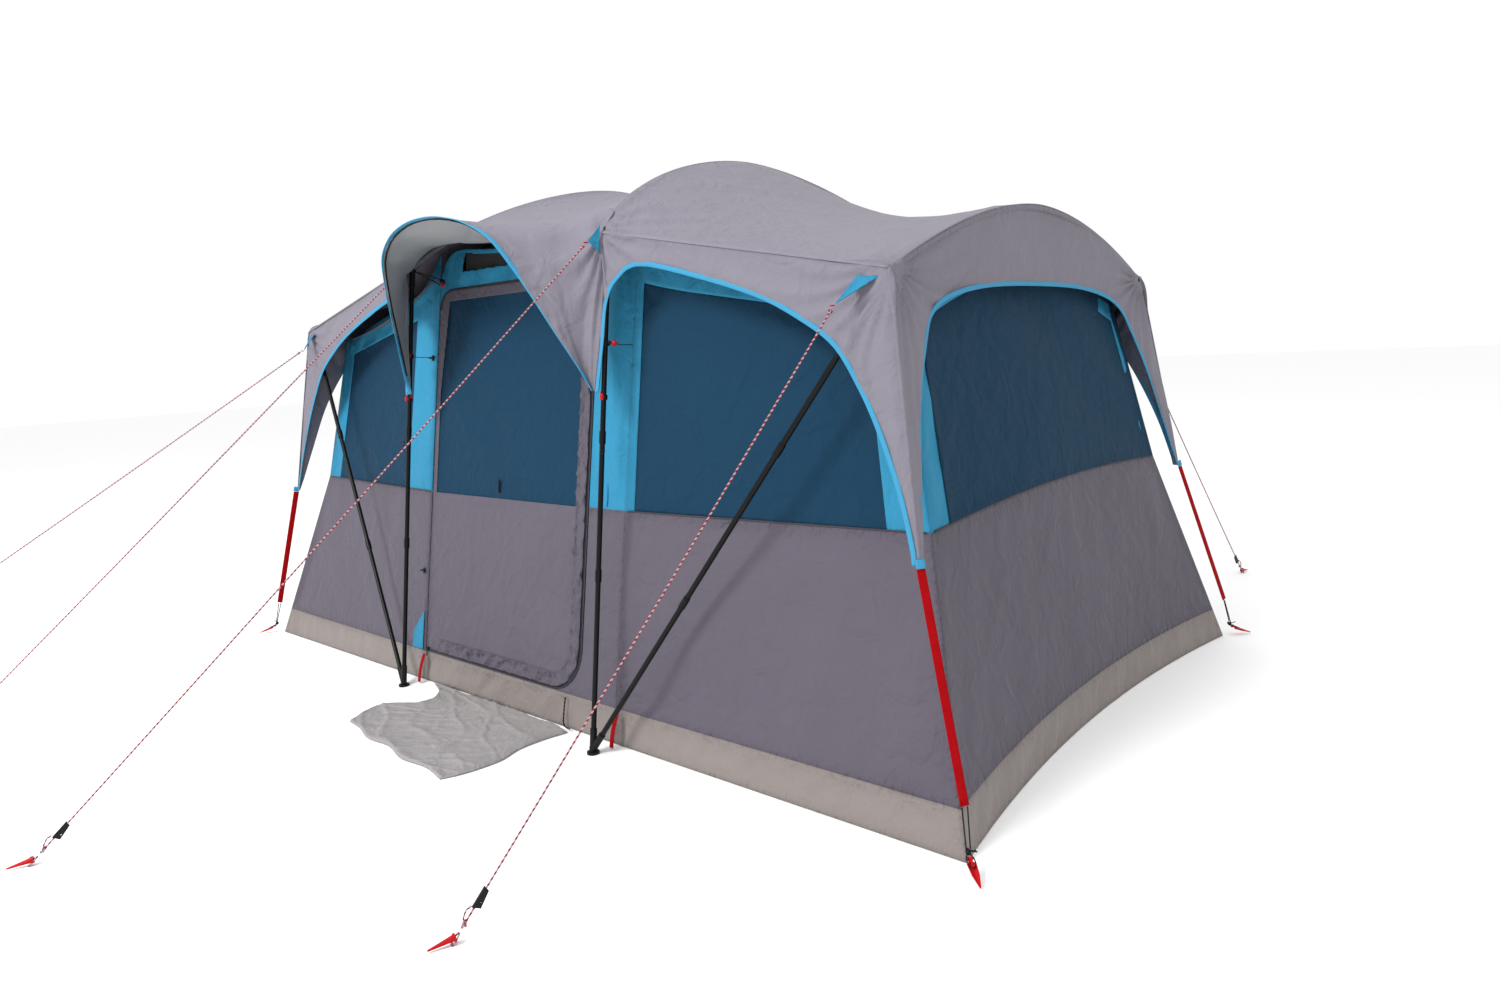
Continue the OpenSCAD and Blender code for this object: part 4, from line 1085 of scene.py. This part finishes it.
def hang(x, z):
    return vec(x, EAVE_HUB[1] * 1000 if z > 1800 else skirt_y(655, z), z)


def whole(half):
    points = [hang(x, z) for x, z in half]
    return np.array(points + [p * FLIP_X for p in points[-2::-1]])


back_spot = mirrored(loft(whole(ARCH_HEM), whole(ARCH_TOP)), 1, -1)
back = patch("fly_middle_skirt", back_spot, (0, 1), (0, 1), (150, 16), FLY,
             fly_folds([(HUB * FLIP_Y, 9, 0.2), (HUB * FLIP_Y * FLIP_X, 9, 0.2)], 244), hold=0.03)
hang_cloth(back, "tent", "fly_middle", "stretched", ["roof_arcs"])
rim = hem("fly_middle_hem", back_spot, (0, 1), 0, 150, -1, inward=1)
finish_piece(rim, "tent", "fly_middle")

hood_spot = loft(HOOD_HEM, PORTAL)


def hood(u, v):
    """The hood, slightly hollow between its arch and the middle hoops."""
    p = hood_spot(u, v)
    inwards = np.array([0, -0.9, 1.3]) - p
    return p + unit(inwards) * (0.035 * 4 * v * (1 - v) * (0.4 + 0.6 * np.sin(math.pi * u)))[..., None]


# Its underside is lined with pale grey: painted light for daylight through the hood.
canopy = patch("hood_canopy_cloth", hood, (0, 1), (0, 1), (210, 40), FLY,
               fly_folds([(HUB, 9, 0.24), (HUB * FLIP_X, 9, 0.24)], 250, 1.2), hold=0.03, lining=HOOD_UNDERSIDE_PAINTED_LIGHT)
hang_cloth(canopy, "tent", "hood_canopy", "stretched", ["hood_arch", "roof_arcs"])
rim = hem("hood_hem", hood, (0, 1), 0, 200, 1, inward=1)
finish_piece(rim, "tent", "hood_canopy")

inner = []
for x_side in (1, -1):
    inner.append(patch(f"inner_roof_{x_side + 1}", mirrored(roof_bay(0.075, 0.06), x_side),
                       (0.004, 0.93), (1 / 12, 11 / 12), (30, 50), INNER, fly_folds([], 260 + x_side)))
inner.append(patch("inner_roof_1", roof_middle(0.075, 0.06), (0, 1), (1 / 6, 5 / 6), (36, 40), INNER,
                   fly_folds([], 263)))
for piece in inner:
    hang_cloth(piece, "tent", "inner_roof", "stretched", ["roof_arcs"])

# ---- floor, mat, straps ----


def floor_spot(u, v):
    t = 2 * v - 1
    reach = HALF_L - 0.006 - (PULL_IN - 0.002) * (1 - t * t)
    return np.stack([lerp(-reach, reach, u), (HALF_W - 0.004) * t, 0.0018 + 0 * t], -1)


ground = patch("groundsheet_cloth", floor_spot, (0, 1), (0, 1), (80, 48), TUB, thick=0.0014, out=1)
hang_cloth(ground, "tent", "groundsheet", "laid", ["tub_walls"])

MAT_TOP = np.array([vec(-560, -1206, 0), vec(-250, -1210, 0), vec(0, -1210, 0), vec(300, -1216, 0),
                    vec(425, -1232, 0)])
MAT_LEFT = np.array([vec(-560, -1206, 0), vec(-430, -1265, 0), vec(-370, -1370, 0), vec(-500, -1500, 0),
                     vec(-440, -1665, 0)])
MAT_LOW = np.array([vec(-440, -1665, 0), vec(-330, -1678, 0), vec(-200, -1712, 0), vec(-60, -1704, 0),
                    vec(90, -1738, 0),
                    vec(240, -1728, 0), vec(376, -1752, 0)])
MAT_RIGHT = np.array([vec(425, -1232, 0), vec(404, -1325, 0), vec(400, -1436, 0), vec(427, -1540, 0),
                      vec(410, -1670, 0),
                      vec(376, -1752, 0)])


def mat_spot(u, v):
    """A patch between four ragged edges: v = 0 is at the sill."""
    top, low, left, right_ = along(MAT_TOP, u), along(MAT_LOW, u), along(MAT_LEFT, v), along(MAT_RIGHT, v)
    u, v = u[..., None], v[..., None]
    corners = lerp(lerp(MAT_TOP[0], MAT_TOP[-1], u), lerp(MAT_LOW[0], MAT_LOW[-1], u), v)
    return lerp(top, low, v) + lerp(left, right_, u) - corners + vec(0, 0, 2.2)


def mat_folds(a, b, p):
    big = 0.5 + 0.5 * waves(a, b, 0.33, 301)
    return (0.0025 + 0.004 * np.clip(big, 0, 2)
            + 0.0035 * creases(*turned(a, b, 20, 2.4, 0.9), 0.20, 302, 0.4)
            + 0.003 * creases(*turned(a, b, -55, 2.0, 0.9), 0.16, 303, 0.4)
            + 0.0015 * creases(a, b, 0.06, 304, 0.4))


mat = patch("door_mat_cloth", mat_spot, (0, 1), (0, 1), (150, 84), MAT, mat_folds, hold=0.004, out=-1)
hang_cloth(mat, "tent", "door_mat", "laid", ["floor"])

for x_side, y_side, near, name in four_corners():
    high, low = TIP + vec(6, -6, -6), vec(2100, -1205, 170)
    facing = unit(np.cross(low - high, [0.66, 0.75, 0]))
    facing = facing if facing[0] > 0 else -facing
    if x_side * y_side < 0:
        facing = unit(np.cross(low - high, [0.3, -0.95, 0]))
    s = np.linspace(0, 1, 30)[:, None]
    strap = ribbon(f"corner_strap_{name}", lerp(high, low, s) * near, facing * near, 0.026, RED_WEB,
                   0.0018, 0.0001)
    finish_piece(strap, "tent", "corner_straps")
    tab = ribbon(f"fly_tip_{name}", lerp(TIP + vec(2, -2, 20), high + vec(1, -1, 2), s) * near,
                 facing * near, 0.028, CYAN_HEM, 0.0024)
    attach(tab, "tent")

for x in (-0.622, 0.690):
    for y_side, face in FACE.items():
        s = np.linspace(0, 1, 24)
        line = lerp(np.array([x, -HALF_W - 0.004, 0.128]), np.array([x, -HALF_W - 0.044, 0.008]), s[:, None])
        line[:, 1] -= 0.006 * np.sin(math.pi * s)
        strap = ribbon(f"foot_strap_{face}_{'left' if x < 0 else 'right'}", line * [1, y_side, 1],
                       np.array([0, -y_side, 0.3]), 0.021, RED_WEB, 0.0018, 0.0001)
        finish_piece(strap, "tent", "foot_straps")


def tab_piece(name, p, q, r, near):
    """A triangular guy tab of doubled cloth."""
    corners = np.array([p, q, r]) * near
    spot = lambda u, v: lerp(lerp(corners[0], corners[1], u[..., None]), corners[2], v[..., None])
    piece = patch(name, spot, (0, 1), (0, 0.985), (12, 16), CYAN, thick=0.003)
    finish_piece(piece, "tent", "guy_tabs")
    return piece


for _, _, near, name in four_corners():
    tab_piece(f"corner_tab_{name}", vec(1758, -1008, 1600), vec(1690, -1022, 1606), CORNER_GUY, near)
    tab_piece(f"hub_tab_{name}", vec(655, -1076, 1868), vec(655, -1090, 1772), HUB_GUY, near)

# ---- hooks, knots, patches and pegs ----


def blob(name, at, size, material, squash=(1, 1, 1)):
    """A small rounded knob."""
    a, b = np.meshgrid(np.linspace(0, math.pi, 13)[1:-1], np.linspace(0, 2 * math.pi, 21)[:-1], indexing="ij")
    ball = np.stack([np.sin(a) * np.cos(b), np.sin(a) * np.sin(b), np.cos(a)], -1).reshape(-1, 3)
    ball = np.vstack([ball, [0, 0, 1], [0, 0, -1]])
    points = np.asarray(at) + ball * size / 2 * np.array(squash)
    faces = [(i * 20 + j, (i + 1) * 20 + j, (i + 1) * 20 + (j + 1) % 20, i * 20 + (j + 1) % 20)
             for i in range(10) for j in range(20)]
    faces += ([(220, j, (j + 1) % 20) for j in range(20)]
              + [(221, 200 + (j + 1) % 20, 200 + j) for j in range(20)])
    return make_mesh(name, points, faces, points[:, :2], material)


def tails(name, at, ways, radius, material):
    """A tight knot with loose ends."""
    pieces = [blob(name, at, radius * 7, material, (1, 0.8, 1.1))]
    for k, way in enumerate(ways):
        s = np.linspace(0, 1, 12)[:, None]
        line = np.asarray(at) + s * np.asarray(way) + np.sin(2.4 * math.pi * s) * radius * [0.8, -0.6, 1.0]
        pieces.append(tube(f"{name}_{k}", line, radius, material, 8))
    return join(name, pieces)


def stake(name, head, point, width, material):
    """A V-shaped stake with a hooked head."""
    way = unit(point - head)
    side = unit(np.cross(way, [0, 0, 1.0]))
    high = np.cross(side, way)
    stations = [(0.0, 0.45), (0.03, 0.7), (0.10, 0.75), (0.13, 0.45), (0.18, 0.45), (0.22, 1.0),
                (0.6, 0.8), (0.97, 0.2), (1.0, 0.06)]
    profile = [(-1, 0), (-0.82, 0.12), (0, -0.45), (0.82, 0.12), (1, 0), (0, -0.75)]
    rings = [head + (point - head) * s + side * x * width * w / 2 + high * h * width * max(w, 0.3) / 2
             for s, w in stations for x, h in profile]
    m = len(profile)
    faces = [(i * m + j, i * m + (j + 1) % m, (i + 1) * m + (j + 1) % m, (i + 1) * m + j)
             for i in range(len(stations) - 1) for j in range(m)]
    last = (len(stations) - 1) * m
    faces += [(5, 4, 3, 2), (5, 2, 1, 0), (last + 2, last + 3, last + 4, last + 5),
              (last, last + 1, last + 2, last + 5)]
    piece = make_mesh(name, rings, faces, np.array(rings)[:, :2], material)
    bevel = piece.modifiers.new("soft edges", "BEVEL")
    bevel.width = 0.0006
    piece.data.polygons.foreach_set("use_smooth", [False] * len(piece.data.polygons))
    return piece


LEG_UP = unit(HUB - FOOT)


def on_leg(z):
    return FOOT + LEG_UP * (z - FOOT[2]) / LEG_UP[2]


def collar(name, at, length, radius, material):
    """A moulded ring around a leg."""
    path = [at, at + 0.001 * LEG_UP, at + (length - 0.001) * LEG_UP, at + length * LEG_UP]
    return tube(name, path, [radius - 0.0012, radius, radius, radius - 0.0012], material, 24)


for x_side, y_side, near, name in four_corners():
    low, high = on_leg(1.262), on_leg(1.45)
    clip = [collar("clip", low, 0.018, 0.0135, PLASTIC), collar("clip", high, 0.018, 0.0138, PLASTIC)]
    clip.append(blob("clip", high + [0.014, 0.010, 0.010], 0.018, PLASTIC, (1.4, 1, 0.8)))
    clip = join("pole_clip_" + name, clip)
    red = [blob("red", low + [0.004, -0.010, 0.012], 0.017, RED, (1.1, 0.9, 1.5)),
           blob("red", low + [-0.012, 0.004, 0.022], 0.012, RED, (0.9, 0.9, 1.8)),
           blob("red", high + [0.030, 0.016, 0.008], 0.021, RED, (1.1, 0.9, 1.0)),
           blob("red", high + [-0.010, -0.006, 0.012], 0.014, RED, (1.0, 0.8, 1.3))]
    red = join("pole_hook_" + name, red)
    tie = tube("pole_tie_" + name, [high + [0.030, 0.020, 0.008], high + [0.012, 0.060, 0.002],
                                    np.array([FOOT_X, wall_y(1.45) - 0.004, 1.45])], 0.0014, ELASTIC, 8)
    knotted = tails("pole_knot_" + name, on_leg(1.09) + [0.009, -0.010, 0],
                    [(0.016, -0.010, -0.024), (0.026, -0.006, -0.006)], 0.0016, ELASTIC)
    hook = blob("bungee_hook_" + name, vec(585, -940, 1772), 0.024, RED, (0.8, 0.8, 1.7))
    strap_knot = tails("strap_knot_" + name, vec(2116, -1224, 56),
                       [(0.026, -0.004, 0.008), (0.022, 0.012, -0.004)], 0.0018, ELASTIC)
    loop_at, peg_way = vec(2136, -1243, 38), unit(vec(2192, -1297, 6) - vec(2122, -1230, 46))
    turn = np.linspace(0, 2 * math.pi, 25)
    across_ = unit(np.cross(peg_way, [0, 0, 1.0]))
    loop = tube("strap_loop_" + name, loop_at + np.outer(np.cos(turn) * 0.011, across_)
                + np.outer(np.sin(turn) * 0.022, peg_way) + [0, 0, 0.002], 0.0017, ELASTIC, 8)
    peg_piece = stake("corner_peg_" + name, vec(2124, -1232, 44), vec(2192, -1297, 7), 0.028, RED)
    for piece in (clip, red, tie, knotted, hook, strap_knot, loop, peg_piece):
        for v in piece.data.vertices:
            v.co.x *= x_side
            v.co.y *= y_side
        if x_side * y_side < 0:
            piece.data.flip_normals()
        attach(piece, "tent")
    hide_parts("pole_clips")
    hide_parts("corner_pegs")

# The patch of cloth above the left foot, and the seams of the walls
patch_spot = mirrored(bay_low, -1, 1)
foot_patch = patch("foot_patch", lambda u, v: patch_spot(u, v) + WALL_OUT * 0.004, (0.012, 0.075),
                   (tub_v + 0.004, 0.37), (14, 30), CYAN, thick=0.0012,
                   keep=lambda u, v, p: v < 0.37 - 0.13 * (u - 0.012) / 0.063)
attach(foot_patch, "tent")
for x_side in (1, -1):
    for y_side in (1, -1):
        spot = mirrored(bay_low, x_side, y_side)
        line, normal = edge_path(spot, (0.01, 0.99), 0.999, 70)
        if normal[30][1] * y_side > 0:
            normal = -normal
        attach(ribbon(f"seam_{x_side}_{y_side}", line + normal * 0.001, normal, 0.006, TAPE, 0.0022), "tent")
    line, normal = edge_path(mirrored(end_low, x_side), (0.01, 0.99), 0.999, 90)
    if normal[45][0] * x_side < 0:
        normal = -normal
    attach(ribbon(f"seam_end_{x_side}", line + normal * 0.001, normal, 0.006, TAPE, 0.0022), "tent")
for x in (0.552, -0.652):
    s = np.linspace(SEAM_S + 0.01, 1.80, 60)
    line = centre_wall(np.full(60, x), s) + WALL_OUT * 0.002
    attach(ribbon(f"seam_up_{int(x * 1000)}", line, WALL_OUT, 0.005, CYAN, 0.0022), "tent")
line = centre_wall(np.linspace(-0.132, -0.129, 12), np.linspace(0.94, 0.885, 12)) + WALL_OUT * 0.0045
pull = ribbon("window_zip_pull", line, WALL_OUT, 0.011, BLACK_WEB, 0.003)
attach(pull, "door")

# ---- cords near the sill ----

s = np.linspace(0, 1, 40)
line = along(np.array([vec(374, -1192, 120), vec(377, -1206, 70), vec(381, -1216, 26), vec(398, -1220, 14),
                       vec(424, -1222, 12)]), s)
turn_ = 2 * math.pi * s * 7
for k in (0, 1):
    strand = line + 0.0016 * np.stack([np.cos(turn_ + math.pi * k), np.sin(turn_ + math.pi * k), 0 * s], -1)
    piece = tube(f"sill_cord_strand_{k}", strand, 0.0018, ELASTIC, 8)
    finish_piece(piece, "tent", "sill_cord")

# ---- finishes of the CAD parts that stay ----

FINISH = {
    STEEL: ["legs_front", "legs_back", "stays_front", "stays_back", "leg_ferrules"],
    ROD: ["roof_arcs", "end_arcs", "hood_arch"],
    PLASTIC: ["middle_hubs", "corner_hubs", "pole_feet", "hub_bungees", "tie_back_toggles",
              "zip_slider_low", "zip_slider_side", "elastic_loops"] + ["runner_" + rope for rope in ROPES],
    RED: ["guy_rings", "rope_pegs"]}
for material, names in FINISH.items():
    for name in names:
        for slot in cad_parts[name].material_slots:
            slot.link = "OBJECT"
            slot.material = material

# ---- floor and light ----

floor_paint = bpy.data.materials.new("floor")
n = Nodes(floor_paint)
n.output(n.add("ShaderNodeBsdfPrincipled", {"Base Color": (0.96, 0.96, 0.96, 1),
                                            "Roughness": 0.95}).outputs[0])
floor = make_mesh("floor", [(-40, -40, -0.0006), (40, -40, -0.0006), (40, 40, -0.0006), (-40, 40, -0.0006)],
                  [(0, 1, 2, 3)], material=floor_paint)

world = bpy.data.worlds.new("studio")
scene.world = world
world.use_nodes = True
world.node_tree.nodes["Background"].inputs[0].default_value = (1, 1, 1, 1)
world.node_tree.nodes["Background"].inputs[1].default_value = 1.0


def softbox(name, at, aim, size, power):
    light = bpy.data.lights.new(name, "AREA")
    light.shape = "DISK"
    light.size = size
    light.energy = power
    lamp = new_object(name, light)
    back_ = unit(np.array(at, float) - np.array(aim, float))
    side_ = unit(np.cross([0, 0, 1.0], back_))
    rot = Matrix(np.column_stack([side_, np.cross(back_, side_), back_]).tolist())
    lamp.matrix_world = Matrix.Translation(at) @ rot.to_4x4()


# Each lamp: where it hangs, where it points, its diameter in metres and its power in watts
softbox("key", (-0.5, -7.5, 6.5), (0.2, 0, 0.9), 3.0, 640)
softbox("top", (1.0, 0.0, 8.0), (0.3, 0, 1.5), 5.0, 120)
